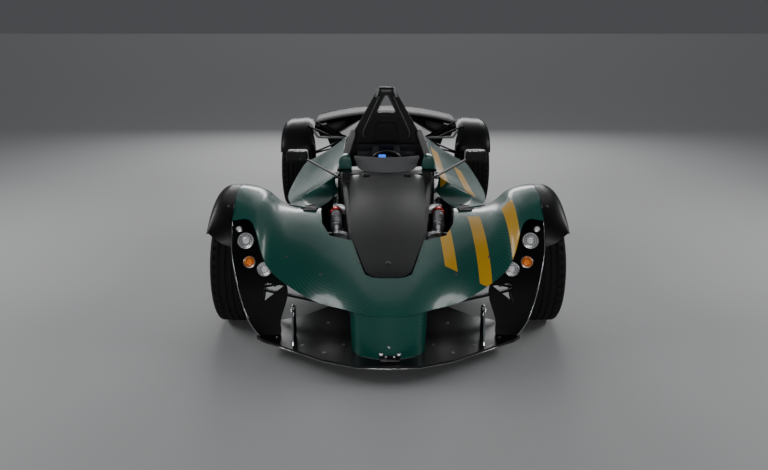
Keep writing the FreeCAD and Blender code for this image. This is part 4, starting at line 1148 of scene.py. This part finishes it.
def flush_stud(name, place, way, radius):
    """A flush quarter-turn fastener: a dished ring round a slotted stud."""
    stud = lathe(name, [
        (-0.002, 0), (-0.002, radius), (0.0006, radius), (0.0014, radius * 0.92), (0.001, radius * 0.72),
        (-0.0004, radius * 0.6), (-0.0004, radius * 0.52), (0.0012, radius * 0.46), (0.0012, 0),
    ], place, way, 16)
    return smooth(stud, 30)


def studs(name, node, places, radius):
    """Flush fasteners along the edges of a panel."""
    made = []
    for x, y, z in places:
        place, way = on_skin(node, x, y, z)
        made.append(flush_stud(name, place, way, radius))
    both_sides(joined(made, name), dull_steel)


def panel_fasteners():
    """The fasteners of the front bodywork, the pods, the cover and the deck."""
    studs("shell_studs", "nose_shell", [
        (0.15, -0.36, 0.46), (0.235, 0.1, 0.6), (0.275, 0.17, 0.6), (0.5, 0.18, 0.6), (0.64, 0.15, 0.7),
        (0.75, -0.1, 0.72), (0.75, 0.11, 0.74), (0.34, -0.4, 0.42), (0.48, -0.32, 0.48)], 0.0075)
    studs("pod_studs", "side_pod_left", [
        (0.33, 0.8, 0.66), (0.33, 1.05, 0.7), (0.33, 1.3, 0.74), (0.6, 0.9, 0.52), (0.6, 1.2, 0.52),
        (0.59, 1.5, 0.52)], 0.0075)
    studs("cover_studs", "engine_cover", [
        (0.235, 1.5, 0.75), (0.255, 1.75, 0.75), (0.275, 2.02, 0.74), (0.33, 2.3, 0.72)], 0.0075)
    studs("deck_studs", "rear_wing", [
        (0.56, 2.7, 0.8), (0.56, 3.05, 0.8), (0.33, 2.7, 0.85), (0.33, 3.05, 0.85)], 0.008)
    studs("cap_studs", "front_arch_left", [(0.79, -0.19, 0.68), (0.79, 0.22, 0.7), (0.87, 0, 0.74)], 0.007)


def hatch_latch():
    """The hatch's lock near its front edge, and the two pads its hinges are bolted to."""
    place, way = on_skin("hatch_lid", 0, -0.4, 0.48)
    fit(turned("hatch_lock", [
        (-0.002, 0), (-0.002, 0.0125), (0.0008, 0.0125), (0.002, 0.0112), (0.002, 0.0085), (0.0004, 0.0078),
        (0.0004, 0.0064), (0.003, 0.006), (0.0034, 0.0048), (0.0034, 0),
    ], place, way, 24), gloss_black, "hatch")
    place, way = on_skin("hatch_lid", 0.126, 0.635, 0.7)
    pad_low = place + Vector((-0.02, -0.03, -0.001))
    hinge = block("hatch_hinge_pad", pad_low, place + Vector((0.02, 0.014, 0.0035)))
    inset(hinge, looking("+z"), (0.004, 0.001))
    screws = [bolt("screw", place + Vector((dx, -0.018, 0.004)), UP, 0.0045, 0.003) for dx in (-0.011, 0.011)]
    hinge = joined([rounded(hinge, 0.0015, 2, 40)] + screws, "hatch_hinge_pad")
    both_sides(smooth(hinge, 35), satin_black, "hatch")


def bright_edges():
    """The bright beads on the splitter's fences and along the foot of the nose."""
    fence = tube("fence_edge", path(
        (0.446, -0.4445, 0.088), (0.446, -0.4445, 0.228), (0.449, -0.447, 0.2385), (0.456, -0.452, 0.2415),
        (0.456, -0.498, 0.2415), (0.446, -0.517, 0.2245), (0.446, -0.561, 0.085)),
        0.0052, sides=3, smooth_line=False)
    both_sides(fence, chrome)
    half = [
        (0, -0.7165), (0.06, -0.7075), (0.11, -0.684), (0.15, -0.641), (0.17, -0.585), (0.1725, -0.5)]
    line = [spot(-x, y, 0.0885) for x, y in half[:0:-1]] + [spot(x, y, 0.0885) for x, y in half]
    fit(tube("nose_foot_bead", line, 0.0026), chrome)


def nose_foot_fittings():
    """Domed bolts and a small plate where the nose meets the splitter, and the stud above them."""
    plate = block("nose_foot_plate", spot(-0.04, -0.7275, 0.0853), spot(0.052, -0.7215, 0.112))
    round_corners(plate, 0.006, 3)
    inset(plate, looking("-y"), (0.003, -0.001))
    fit(eased(plate, 0.0008), gloss_black)
    for i, (x, z, radius) in enumerate(((-0.034, 0.119, 0.0105), (0.045, 0.119, 0.0105),
            (-0.012, 0.108, 0.006), (0.024, 0.108, 0.006))):
        stud = lathe("nose_foot_bolt_%d" % i, [
            (-0.006, 0), (-0.006, radius), (0.002, radius), (0.0045, radius * 0.85), (0.0065, radius * 0.5),
            (0.007, 0),
        ], spot(x, -0.7262, z), (0, -1, 0.15), 20)
        fit(smooth(stud, 40), chrome)
    place, way = on_skin("nose_cone", 0.001, -0.76, 0.15)
    fit(flush_stud("nose_stud", place, way, 0.006), chrome)


def shell_ducts():
    """The dark meshed duct on each side at the rear edge of the front bodywork."""
    duct = chain("shell_duct", path(
        (0.384, 0.14, 0.5535), (0.458, 0.126, 0.56), (0.464, 0.285, 0.546), (0.404, 0.325, 0.542)), True)
    thickened(outward(duct), 0.006)
    inset(duct, looking("+z"), (0.004, 0), (0.0015, -0.0025))
    both_sides(smooth(duct, 35), grille)


def arch_painted_highlight_beads():
    """The grey bead along the inner shoulder of each rear arch, a painted highlight of that rounded shoulder.
    """
    line = []
    for i in range(9):
        place, _ = on_skin("rear_arch_left", 0.606, 2.285 + 0.07 * i, 0.8)
        line.append(place + Vector((0, 0, 0.001)))
    # Painted highlight: the grey bead stands for the light caught on the arch's rounded inner shoulder
    both_sides(tube("arch_painted_highlight_bead", line, 0.0032, sides=2), grey_and_painted_highlight)


HOOP_FACE, HOOP_MIDDLE, CHEEK_LEAN = 1.4035, spot(0, 1.4, 0), math.radians(-19)


def hoop_trim():
    """Grey ribs down the hoop's legs and a grey bead round its window, painted highlights of the legs' inner
    edges, and the plates at its apex.
    """
    # Painted highlight: the grey ribs stand for the bright line along each leg's rounded inner edge
    rib = tube("hoop_painted_highlight_rib", [spot(x, HOOP_FACE, z) for x, z in (
        (0.05, 1.046), (0.083, 0.975), (0.115, 0.907), (0.16, 0.814), (0.166, 0.786), (0.16, 0.765))],
        0.0042, sides=3)
    both_sides(rib, grey_and_painted_highlight)
    # Painted highlight: the grey bead stands for the bright lines along the window's edges
    half = [(0, 1.0585), (0.012, 1.052), (0.04, 0.998), (0.0655, 0.945), (0.056, 0.9345), (0, 0.9345)]
    line = [spot(x, HOOP_FACE, z) for x, z in half] + [spot(-x, HOOP_FACE, z) for x, z in half[-2:0:-1]]
    fit(tube("hoop_window_painted_highlight", line, 0.0042, True, 3, False), grey_and_painted_highlight)
    cheek = block("hoop_cheek", spot(-0.0075, 1.399, -0.029), spot(0.0075, 1.4045, 0.029))
    cheek.data.transform(Matrix.Translation((0.063, 0, 1.071)) @ Matrix.Translation(HOOP_MIDDLE) @
        Matrix.Rotation(CHEEK_LEAN, 4, "Y") @ Matrix.Translation(-HOOP_MIDDLE))
    inset(cheek, looking("-y"), (0.003, 0.0012))
    both_sides(eased(cheek, 0.0014), pale_grey)
    crown = block("hoop_crown", spot(-0.036, 1.4005, 1.074), spot(0.036, 1.4045, 1.096))
    inset(crown, looking("-y"), (0.004, 0.001))
    fit(eased(crown, 0.0014), grey_and_painted_highlight)


# The driver's controls

COLUMN_TILT = math.radians(14)
COLUMN_WAY = Vector((0, math.cos(COLUMN_TILT), math.sin(COLUMN_TILT)))
WHEEL_UP = Vector((0, -math.sin(COLUMN_TILT), math.cos(COLUMN_TILT)))
WHEEL_MIDDLE = spot(0, 1.0, 0.612)


def on_wheel(x, up, out_by):
    """A place on the steering wheel: across, up its face, and out towards the driver."""
    return WHEEL_MIDDLE + Vector((x, 0, 0)) + WHEEL_UP * up + COLUMN_WAY * out_by


def wheel_plate(name, low, high, width):
    """A rounded plate that lies in the steering wheel's plane."""
    plate = block(name, low, high)
    rounded(plate, width, 3, 40)
    lean = Matrix.Rotation(COLUMN_TILT, 4, "X")
    plate.data.transform(Matrix.Translation(WHEEL_MIDDLE) @ lean)
    return plate


def steering_controls():
    """The steering wheel's grips, face, screen, buttons, paddles and quick release."""
    arc = [math.radians(a) for a in range(-48, 49, 8)]
    grip = tube("wheel_grip", [on_wheel(0.122 * math.cos(a), 0.122 * math.sin(a), 0) for a in arc], 0.0165,
        sides=5)
    both_sides(grip, seat_cloth, "steering_wheel")
    face = wheel_plate("wheel_face", (-0.078, 0.008, -0.048), (0.078, 0.019, 0.05), 0.006)
    inset(face, looking("+y", 0.9), (0.003, -0.0012))
    fit(smooth(face, 35), carbon_dark, "steering_wheel")
    frame_plate = wheel_plate("wheel_screen_frame", (-0.04, 0.017, 0.004), (0.04, 0.0225, 0.042), 0.002)
    fit(smooth(frame_plate, 35), gloss_black, "steering_wheel")
    screen = wheel_plate("wheel_screen", (-0.034, 0.0205, 0.009), (0.034, 0.0232, 0.037), 0.0009)
    fit(smooth(screen, 35), blue_display, "steering_wheel")
    places = [(-0.062, 0.03), (0.062, 0.03), (-0.062, 0.006), (0.062, 0.006), (-0.05, -0.026), (0.05, -0.026),
        (-0.018, -0.028), (0.018, -0.028)]
    for i, (x, up) in enumerate(places):
        cap = lathe("wheel_button_%d" % i, [
            (0, 0), (0, 0.0085), (0.003, 0.0085), (0.003, 0.0068), (0.007, 0.0062), (0.0082, 0.0048),
            (0.0076, 0),
        ], on_wheel(x, up, 0.017), COLUMN_WAY, 16)
        tint = (button_red, button_blue, button_pale)[i % 3]
        fit(smooth(cap, 35), tint, "steering_wheel")
    paddle = wheel_plate("wheel_paddle", (0.03, -0.022, -0.02), (0.098, -0.0185, 0.04), 0.0012)
    faces(paddle, looking("+x", 0.9))
    bpy.ops.transform.resize(value=(1, 1, 0.72))
    out()
    both_sides(smooth(paddle, 35), carbon_dark, "steering_wheel")
    fit(turned("wheel_release", [
        (-0.052, 0.0245), (-0.052, 0.031), (-0.048, 0.033), (-0.04, 0.033), (-0.038, 0.03), (-0.03, 0.03),
        (-0.028, 0.036), (-0.016, 0.036), (-0.0125, 0.033), (-0.0125, 0.0245),
    ], WHEEL_MIDDLE, COLUMN_WAY, 40, closed=True), blue_anodised, "steering_wheel")
    pod_low, pod_high = (-0.052, -0.02, 0.088), (-0.006, -0.01, 0.112)
    beacon = wheel_plate("wheel_light_bar", pod_low, pod_high, 0.003)
    fit(smooth(beacon, 35), blue_display, "steering_wheel")
    row = [bolt("bolt", on_wheel(0.035 * math.cos(a), 0.035 * math.sin(a) - 0.001, 0.0195), COLUMN_WAY,
        0.003, 0.002)
        for a in (math.radians(60 * i + 30) for i in range(3, 6))]
    fit(smooth(joined(row, "wheel_bolts"), 30), steel, "steering_wheel")


SWITCH_WAY = (0, 0.96, -0.28)


def dash_switches():
    """Toggles, a start button and two rotary switches along the dash."""
    for i, x in enumerate((-0.185, -0.155, -0.125, 0.125, 0.155, 0.185)):
        base = lathe("dash_toggle_%d" % i, [
            (-0.001, 0), (-0.001, 0.0075), (0.002, 0.0075), (0.003, 0.005), (0.006, 0.0046), (0.006, 0),
        ], spot(x, 0.858, 0.618), SWITCH_WAY, 16)
        lever = bar("lever", spot(x, 0.862, 0.618), spot(x, 0.88, 0.624), 0.0016, 12, 0.0028)
        fit(smooth(joined([base, lever], "dash_toggle_%d" % i), 35), alloy)
    for name, x, tint in (("dash_start", -0.205, button_red), ("dash_isolator", 0.205, button_red),
            ("dash_rotary", 0.092, grey_and_painted_highlight)):
        fit(turned(name, [
            (-0.001, 0), (-0.001, 0.013), (0.002, 0.013), (0.003, 0.0095), (0.013, 0.0085), (0.015, 0.0065),
            (0.015, 0),
        ], spot(x, 0.857, 0.622), SWITCH_WAY, 24, 35), tint)


def pedals():
    """Three pedals with studded pads on a cross bar."""
    rail = bar("pedal_rail", spot(-0.15, -0.085, 0.125), spot(0.15, -0.085, 0.125), 0.009, 20)
    for x in (-0.145, 0.145):
        foot = block("rail_foot", spot(x - 0.012, -0.1, 0.104), spot(x + 0.012, -0.07, 0.136))
        rail = joined([rail, rounded(foot, 0.003)], "pedal_rail")
    fit(smooth(rail, 35), steel)
    for name, x, width in (("clutch_pedal", 0.095, 0.026), ("brake_pedal", 0, 0.03),
            ("throttle_pedal", -0.095, 0.02)):
        arm = block(name, spot(x - 0.006, -0.093, 0.125), spot(x + 0.006, -0.077, 0.255))
        faces(arm, looking("+z"))
        bpy.ops.transform.translate(value=(0, 0.02, 0))
        out()
        pad_block = block("pad", spot(x - width, -0.06, 0.215), spot(x + width, -0.053, 0.275))
        inset(pad_block, looking("+y"), (0.005, -0.002))
        grip = [bar("nub", spot(x + dx, -0.057, z), spot(x + dx, -0.051, z), 0.003, 10)
            for dx in (-width * 0.5, 0, width * 0.5) for z in (0.23, 0.245, 0.26)]
        fit(smooth(joined([rounded(arm, 0.002), rounded(pad_block, 0.003)] + grip, name), 35), alloy)


# Cowl

def low_screen():
    """The low screen, curved across and rounded at its corners."""
    clear_selection()
    bpy.ops.mesh.primitive_grid_add(x_subdivisions=24, y_subdivisions=10, size=1)
    screen = named("low_screen")
    for vert in screen.data.vertices:
        across, rise = vert.co.x * 2, vert.co.y + 0.5
        half = 0.17 + 0.04 * rise - 0.03 * max(1 - rise / 0.25, 0) ** 2 \
            - 0.008 * max(rise / 0.15 - 5.67, 0) ** 2
        vert.co = spot(half * across, 0.6895 + 0.0955 * rise + 0.026 * across ** 2,
            0.6512 + 0.079 * rise + 0.006 * across ** 2)
    screen = smooth(rounded(thickened(outward(screen), 0.004), 0.0012, 2, 60), 50)
    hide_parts("windscreen")
    fit(screen, smoked_screen)


def cowl_cheeks():
    """The glossy shoulder that rises on each side of the screen."""
    cheek = chain("cowl_cheek", [spot(x, 0.735, z) for x, z in (
        (0.296, 0.664), (0.298, 0.705), (0.29, 0.734), (0.268, 0.752), (0.247, 0.752), (0.229, 0.734),
        (0.219, 0.7),
        (0.216, 0.666))], True)
    edit()
    bpy.ops.mesh.extrude_region_move(TRANSFORM_OT_translate={"value": (0, 0.06, 0.004)})
    out()
    both_sides(smooth(rounded(outward(cheek), 0.009, 4, 50), 40), carbon_green)


# Mirrors

def mirror_trim():
    """Each mirror's glass, its top bead, its bolt and the bracket of its stalk."""
    glass = block("mirror_glass", spot(0.524, 1.0485, 0.671), spot(0.646, 1.0512, 0.729))
    round_corners(glass, 0.016, 5)
    both_sides(smooth(rounded(glass, 0.0006, 2, 50), 30), chrome)
    bead = tube("mirror_bead", path(
        (0.531, 0.9865, 0.7335), (0.585, 0.9845, 0.7345), (0.64, 0.9865, 0.7335)), 0.003, sides=3)
    both_sides(bead, chrome)
    both_sides(smooth(bolt("mirror_bolt", spot(0.562, 0.986, 0.688), AHEAD, 0.0055, 0.003), 30),
        chrome)
    place, way = on_skin("side_pod_left", 0.325, 0.8, 0.66)
    both_sides(turned("mirror_foot", [
        (-0.003, 0), (-0.003, 0.019), (0.002, 0.019), (0.004, 0.016), (0.009, 0.011), (0.018, 0.009),
        (0.02, 0),
    ], place, way, 24, 35), alloy)


# Suspension ends

ROD_END = 0.0135


def rod_end(name, end, toward):
    """A rod end: a ball eye, its bolt with a washer each side, and the lock nut on the leg."""
    size = ROD_END
    end, way = Vector(end), (Vector(toward) - Vector(end)).normalized()
    ball = lathe(name, [
        (-size * 0.75, 0), (-size * 0.7, size * 0.4), (-size * 0.4, size * 0.8), (0, size),
        (size * 0.4, size * 0.8), (size * 0.8, size * 0.62), (size * 1.8, size * 0.55),
        (size * 1.85, size * 0.8), (size * 2.4, size * 0.8), (size * 2.45, size * 0.5), (size * 2.45, 0),
    ], end, way, 20)
    pin = bar("pin", end + Vector((0, 0, -size * 1.35)), end + Vector((0, 0, size * 1.35)), size * 0.42, 12)
    washers = [bar("washer", end + Vector((0, 0, z * size)), end + Vector((0, 0, (z + 0.3) * size)),
        size * 0.7, 6)
        for z in (-1.4, 1.1)]
    return smooth(joined([ball, pin] + washers, name), 40)


def suspension_ends():
    """The inner rod ends of the front wishbones, and the nuts on the king pins."""
    legs = (("lower_front", 0.162, (0.14, -0.345, 0.176), 0.186),
        ("lower_rear", 0.162, (0.15, 0.262, 0.176), 0.252),
        ("upper_front", 0.433, (0.14, -0.205, 0.365), 0.205),
        ("upper_rear", 0.433, (0.15, 0.232, 0.41), 0.254))
    for tag, height, inner, reach in legs:
        outer = spot(KING_PIN, 0, height)
        line = spot(*inner) - outer
        end = outer + line * ((KING_PIN - reach) / (KING_PIN - inner[0]))
        both_sides(rod_end("front_rod_end_" + tag, end, outer), steel)
    both_sides(turned("king_pin_nut", [
        (0, 0), (0, 0.017), (0.003, 0.0175), (0.012, 0.0175), (0.015, 0.015), (0.015, 0.008),
        (0.021, 0.007), (0.021, 0),
    ], spot(KING_PIN, 0, 0.4475), UP, 6), steel, "knuckle_{}")
    ends = (("a", WHEELBASE - 0.22, 0.116), ("b", WHEELBASE + 0.225, 0.2),
        ("c", WHEELBASE - 0.185, 0.556), ("d", WHEELBASE + 0.195, 0.556))
    for tag, end_y, end_z in ends:
        hub = spot(0.682, WHEELBASE, 0.196 if tag in "ab" else 0.432)
        rail = spot(0.33, end_y, end_z)
        end = rail + (hub - rail).normalized() * 0.03
        both_sides(rod_end("rear_rod_end_" + tag, end, hub), steel)


# Engine bay and tail: stations and heights of the faces that the fittings stand on

ENGINE_FRONT, ENGINE_TOP = 1.545, 0.6
GEARBOX_FRONT = 1.9603
TAIL_FACE = 3.0482

def ribbed(name, low, high, count):
    """A rounded housing with a row of raised ribs across its top."""
    case = rounded(block(name, low, high), 0.012, 3, 40)
    margin = (high.x - low.x) * 0.12
    ribs = []
    for i in range(count):
        y = low.y + (high.y - low.y) * (i + 0.5) / count
        rib = block("rib", (low.x + margin, y - 0.0045, high.z - 0.004),
            (high.x - margin, y + 0.0045, high.z + 0.0045))
        ribs.append(rounded(rib, 0.0016, 2, 40))
    return smooth(joined([case] + ribs, name), 35)


def engine_dress():
    """The cam cover, intake, exhaust runs, pulleys, belt and oil filter on the engine block."""
    front, top = ENGINE_FRONT, ENGINE_TOP
    cover = ribbed("cam_cover", spot(-0.085, front + 0.03, top - 0.004),
        spot(0.125, front + 0.385, top + 0.052), 9)
    fit(cover, crackle_black)
    fit(turned("oil_cap", [
        (0, 0), (0, 0.03), (0.006, 0.032), (0.016, 0.032), (0.019, 0.028), (0.019, 0.012), (0.026, 0.01),
        (0.026, 0),
    ], spot(0.03, front + 0.075, top + 0.05), UP, 20, 35), satin_black)
    plenum = ribbed("intake_plenum", spot(-0.262, front + 0.03, top + 0.012),
        spot(-0.178, front + 0.355, top + 0.08), 6)
    fit(plenum, cast_alloy)
    for i in range(4):
        y = front + 0.075 + i * 0.082
        runner = tube("intake_runner_%d" % i, [spot(x, y, top + z) for x, z in (
            (-0.186, 0.046), (-0.14, 0.044), (-0.118, 0.026), (-0.116, -0.006))], 0.0185, sides=5)
        fit(runner, cast_alloy)
        header = tube("exhaust_header_%d" % i, [
            spot(0.282, y, 0.48), spot(0.303, y, 0.478), spot(0.304, y + 0.02, 0.4),
            spot(0.303, front + 0.36, 0.33 - 0.014 * i), spot(0.296, front + 0.412, 0.318)], 0.0155, sides=5)
        fit(header, burnt_steel)
    fit(turned("crank_pulley", [
        (0, 0), (0, 0.062), (0.004, 0.066), (0.008, 0.06), (0.012, 0.066), (0.016, 0.06), (0.02, 0.066),
        (0.024, 0.062), (0.024, 0.045), (0.014, 0.04), (0.014, 0.018), (0.028, 0.016), (0.028, 0),
    ], spot(0, front + 0.001, 0.215), AHEAD, 36), dark_steel)
    fit(turned("alternator", [
        (0, 0), (0, 0.05), (0.006, 0.053), (0.014, 0.053), (0.018, 0.048), (0.04, 0.048), (0.044, 0.053),
        (0.05, 0.053), (0.054, 0.044), (0.054, 0),
    ], spot(0.18, front + 0.002, 0.48), AHEAD, 28), cast_alloy)
    loop = [(-0.064, 0.215), (-0.045, 0.17), (0, 0.151), (0.05, 0.172), (0.226, 0.452), (0.228, 0.5),
        (0.19, 0.527), (0.14, 0.505), (-0.05, 0.262)]
    belt = tube("drive_belt", [spot(x, front - 0.012, z) for x, z in loop], 0.0065, True, 2)
    fit(belt, rubber_black)
    fit(turned("oil_filter", [
        (0, 0), (0, 0.036), (0.006, 0.038), (0.044, 0.038), (0.051, 0.034), (0.053, 0.022), (0.053, 0),
    ], spot(-0.18, front + 0.001, 0.26), AHEAD, 28), satin_black)


def gearbox_dress():
    """The gearbox's bell bolts, side covers and breather."""
    front = GEARBOX_FRONT
    flange = [bolt("bolt", spot(x, front + 0.02, 0.4498), UP, 0.007, 0.006) for x in (-0.09, 0, 0.09)]
    for z in (0.36, 0.26):
        for x in (-0.1498, 0.1498):
            flange.append(bolt("bolt", spot(x, front + 0.06, z), (x, 0, 0), 0.007, 0.006))
    fit(smooth(joined(flange, "bell_bolts"), 30), dull_steel)
    for tag, y in (("front", 2.16), ("rear", 2.4)):
        cover = lathe("gear_cover_" + tag, [
            (-0.002, 0), (-0.002, 0.088), (0.004, 0.09), (0.01, 0.086), (0.013, 0.07), (0.009, 0.062),
            (0.016, 0.05), (0.019, 0.03), (0.019, 0),
        ], spot(0.149, y, 0.3), ACROSS, 32)
        ring = ring_of(bolt("bolt", spot(0.157, y, 0.379), ACROSS, 0.005, 0.005), 6, spot(0.157, y, 0.3), "X")
        both_sides(smooth(joined([cover, ring], "gear_cover_" + tag), 32), cast_alloy)
    fit(turned("gearbox_breather", [
        (0, 0), (0, 0.01), (0.014, 0.01), (0.016, 0.014), (0.024, 0.014), (0.027, 0.01), (0.027, 0),
    ], spot(0.04, 2.26, 0.449), UP, 16), alloy)


def tail_dress():
    """Tail pipe tips, tail lamps with their bezels, the vent and the fixings of the tail."""
    face = TAIL_FACE
    both_sides(turned("tail_pipe_tip", [
        (0.04, 0.0383), (0.05, 0.0385), (0.054, 0.0415), (0.06, 0.0425), (0.066, 0.0405), (0.066, 0.0365),
        (0.056, 0.0345), (0.02, 0.0338), (0.02, 0.0342), (0.04, 0.0345),
    ], spot(0.07, face, 0.44), BACK, 40, closed=True), burnt_steel)
    lens = block("tail_lamp", spot(0.3, face, 0.596), spot(0.5, face + 0.0255, 0.634))
    take(lens)
    bpy.ops.object.mode_set(mode="EDIT")
    for i in range(1, 20):
        bpy.ops.mesh.select_all(action="SELECT")
        bpy.ops.mesh.bisect(plane_co=(0.3 + 0.01 * i, 0, 0), plane_no=ACROSS)
    out()
    faces(lens, looking("+y"))
    bpy.ops.mesh.inset(thickness=0.0012, depth=-0.0022, use_individual=True)
    out()
    pair = both_sides(smooth(outward(lens), 30), red_lens)
    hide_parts("rear_lamps")
    for part, low_z, high_z in (("top", 0.634, 0.641), ("foot", 0.589, 0.596)):
        rail = block("tail_lamp_rim_" + part, spot(0.294, face, low_z), spot(0.506, face + 0.012, high_z))
        both_sides(eased(rail, 0.002), gloss_black)
    place = spot(0.42, face, 0.53)
    both_sides(turned("round_lamp_bowl", [
        (0, 0), (0, 0.032), (0.014, 0.032), (0.016, 0.03), (0.012, 0.027), (0.003, 0.014), (0.003, 0),
    ], place, BACK, 36), chrome)
    both_sides(turned("round_lamp_lens", [
        (0.014, 0.0325), (0.0185, 0.03), (0.0215, 0.022), (0.0238, 0.012), (0.0245, 0), (0.0215, 0),
        (0.0208, 0.012), (0.0185, 0.02), (0.0165, 0.0265), (0.014, 0.0295),
    ], place, BACK, 36, 40, closed=True), red_lens)
    places = [spot(x, face - 0.0002, z) for x, z in (
        (0.25, 0.7), (0.46, 0.68), (0.52, 0.56), (0.46, 0.36), (0.37, 0.26), (0.2, 0.26))]
    bolts("tail_panel_bolts", places, BACK, 0.0065, dull_steel)
    vent = block("tail_vent", spot(-0.18, face - 0.0005, 0.56), spot(0.18, face + 0.006, 0.68))
    round_corners(vent, 0.02, 4)
    inset(vent, looking("+y"), (0.01, 0), (0.002, -0.005))
    fit(eased(vent, 0.0012), grille)
    made = []
    for x in (0.1, 0.25, 0.34, 0.5):
        place, way = on_skin("diffuser", x, 2.5, 0.25)
        made.append(bolt("bolt", place, way, 0.006))
    both_sides(smooth(joined(made, "diffuser_bolts"), 30), dull_steel)
    shares = [step / 8 * 0.985 for step in range(-8, 9)]
    line = [spot(0.6037 * share, 3.1165, 0.8005 - 0.078 * share ** 2) for share in shares]
    fit(tube("deck_lip", line, 0.0042, sides=3), gloss_black)


def arch_liners():
    """Dark inner panels between the arches and the engine, and the cross bars there."""
    liner = chain("arch_liner", [spot(x, 2.66, z) for x, z in (
        (0.352, 0.582), (0.575, 0.582), (0.602, 0.64), (0.602, 0.67), (0.352, 0.725))], True)
    liner = thickened(outward(liner), 0.004)
    both_sides(eased(liner, 0.001), satin_black)
    brace = tube("arch_brace", [spot(x, 2.395, z) for x, z in (
        (0.33, 0.57), (0.334, 0.606), (0.35, 0.613), (0.56, 0.613), (0.58, 0.62), (0.606, 0.68))], 0.01,
        sides=4)
    both_sides(brace, pale_grey)


def radiators():
    """A finned core with side tanks inside each pod."""
    core = block("radiator_core", spot(0.35, 0.925, 0.15), spot(0.424, 0.965, 0.43))
    inset(core, looking("y"), (0.007, -0.004))
    both_sides(smooth(core, 30), fins)
    for tag, x in (("inner", 0.33), ("outer", 0.422)):
        tank = block("radiator_tank_" + tag, spot(x, 0.918, 0.142), spot(x + 0.022, 0.972, 0.438))
        both_sides(smooth(rounded(tank, 0.009, 3, 40), 35), alloy)


def shaft_boots():
    """The pleated boots on the drive shafts, which turn with the rear wheels."""
    folds = [(0, 0.0155), (0, 0.04)]
    for i in range(6):
        folds += [(0.008 + i * 0.013, 0.038 - i * 0.003), (0.0145 + i * 0.013, 0.031 - i * 0.0026)]
    folds += [(0.092, 0.019), (0.104, 0.0185), (0.104, 0.0155)]
    boot = lathe("shaft_boot", folds, spot(0.172, WHEELBASE, REAR_RADIUS), ACROSS, 32, True)
    both_sides(smooth(boot, 30), rubber_black, "rear_wheel_{}")
    for tag, x, radius in (("inner", 0.176, 0.0415), ("outer", 0.266, 0.021)):
        band = lathe("boot_band_" + tag, [
            (0, 0.0165), (0, radius), (0.006, radius), (0.006, 0.0165),
        ], spot(x, WHEELBASE, REAR_RADIUS), ACROSS, 32, True)
        both_sides(smooth(band, 30), dull_steel, "rear_wheel_{}")


for build in (
        finish_nodes, studio, tyres, wheels, brakes, lamps, damper, vane_edge_painted_highlight, splitter_edge, harness,
        headrest_pad, seat_pads, panel_fasteners, hatch_latch, bright_edges, nose_foot_fittings, shell_ducts,
        arch_painted_highlight_beads, hoop_trim, steering_controls, dash_switches, pedals, low_screen, cowl_cheeks,
        mirror_trim, suspension_ends, engine_dress, gearbox_dress, tail_dress, arch_liners, radiators,
        shaft_boots):
    build()
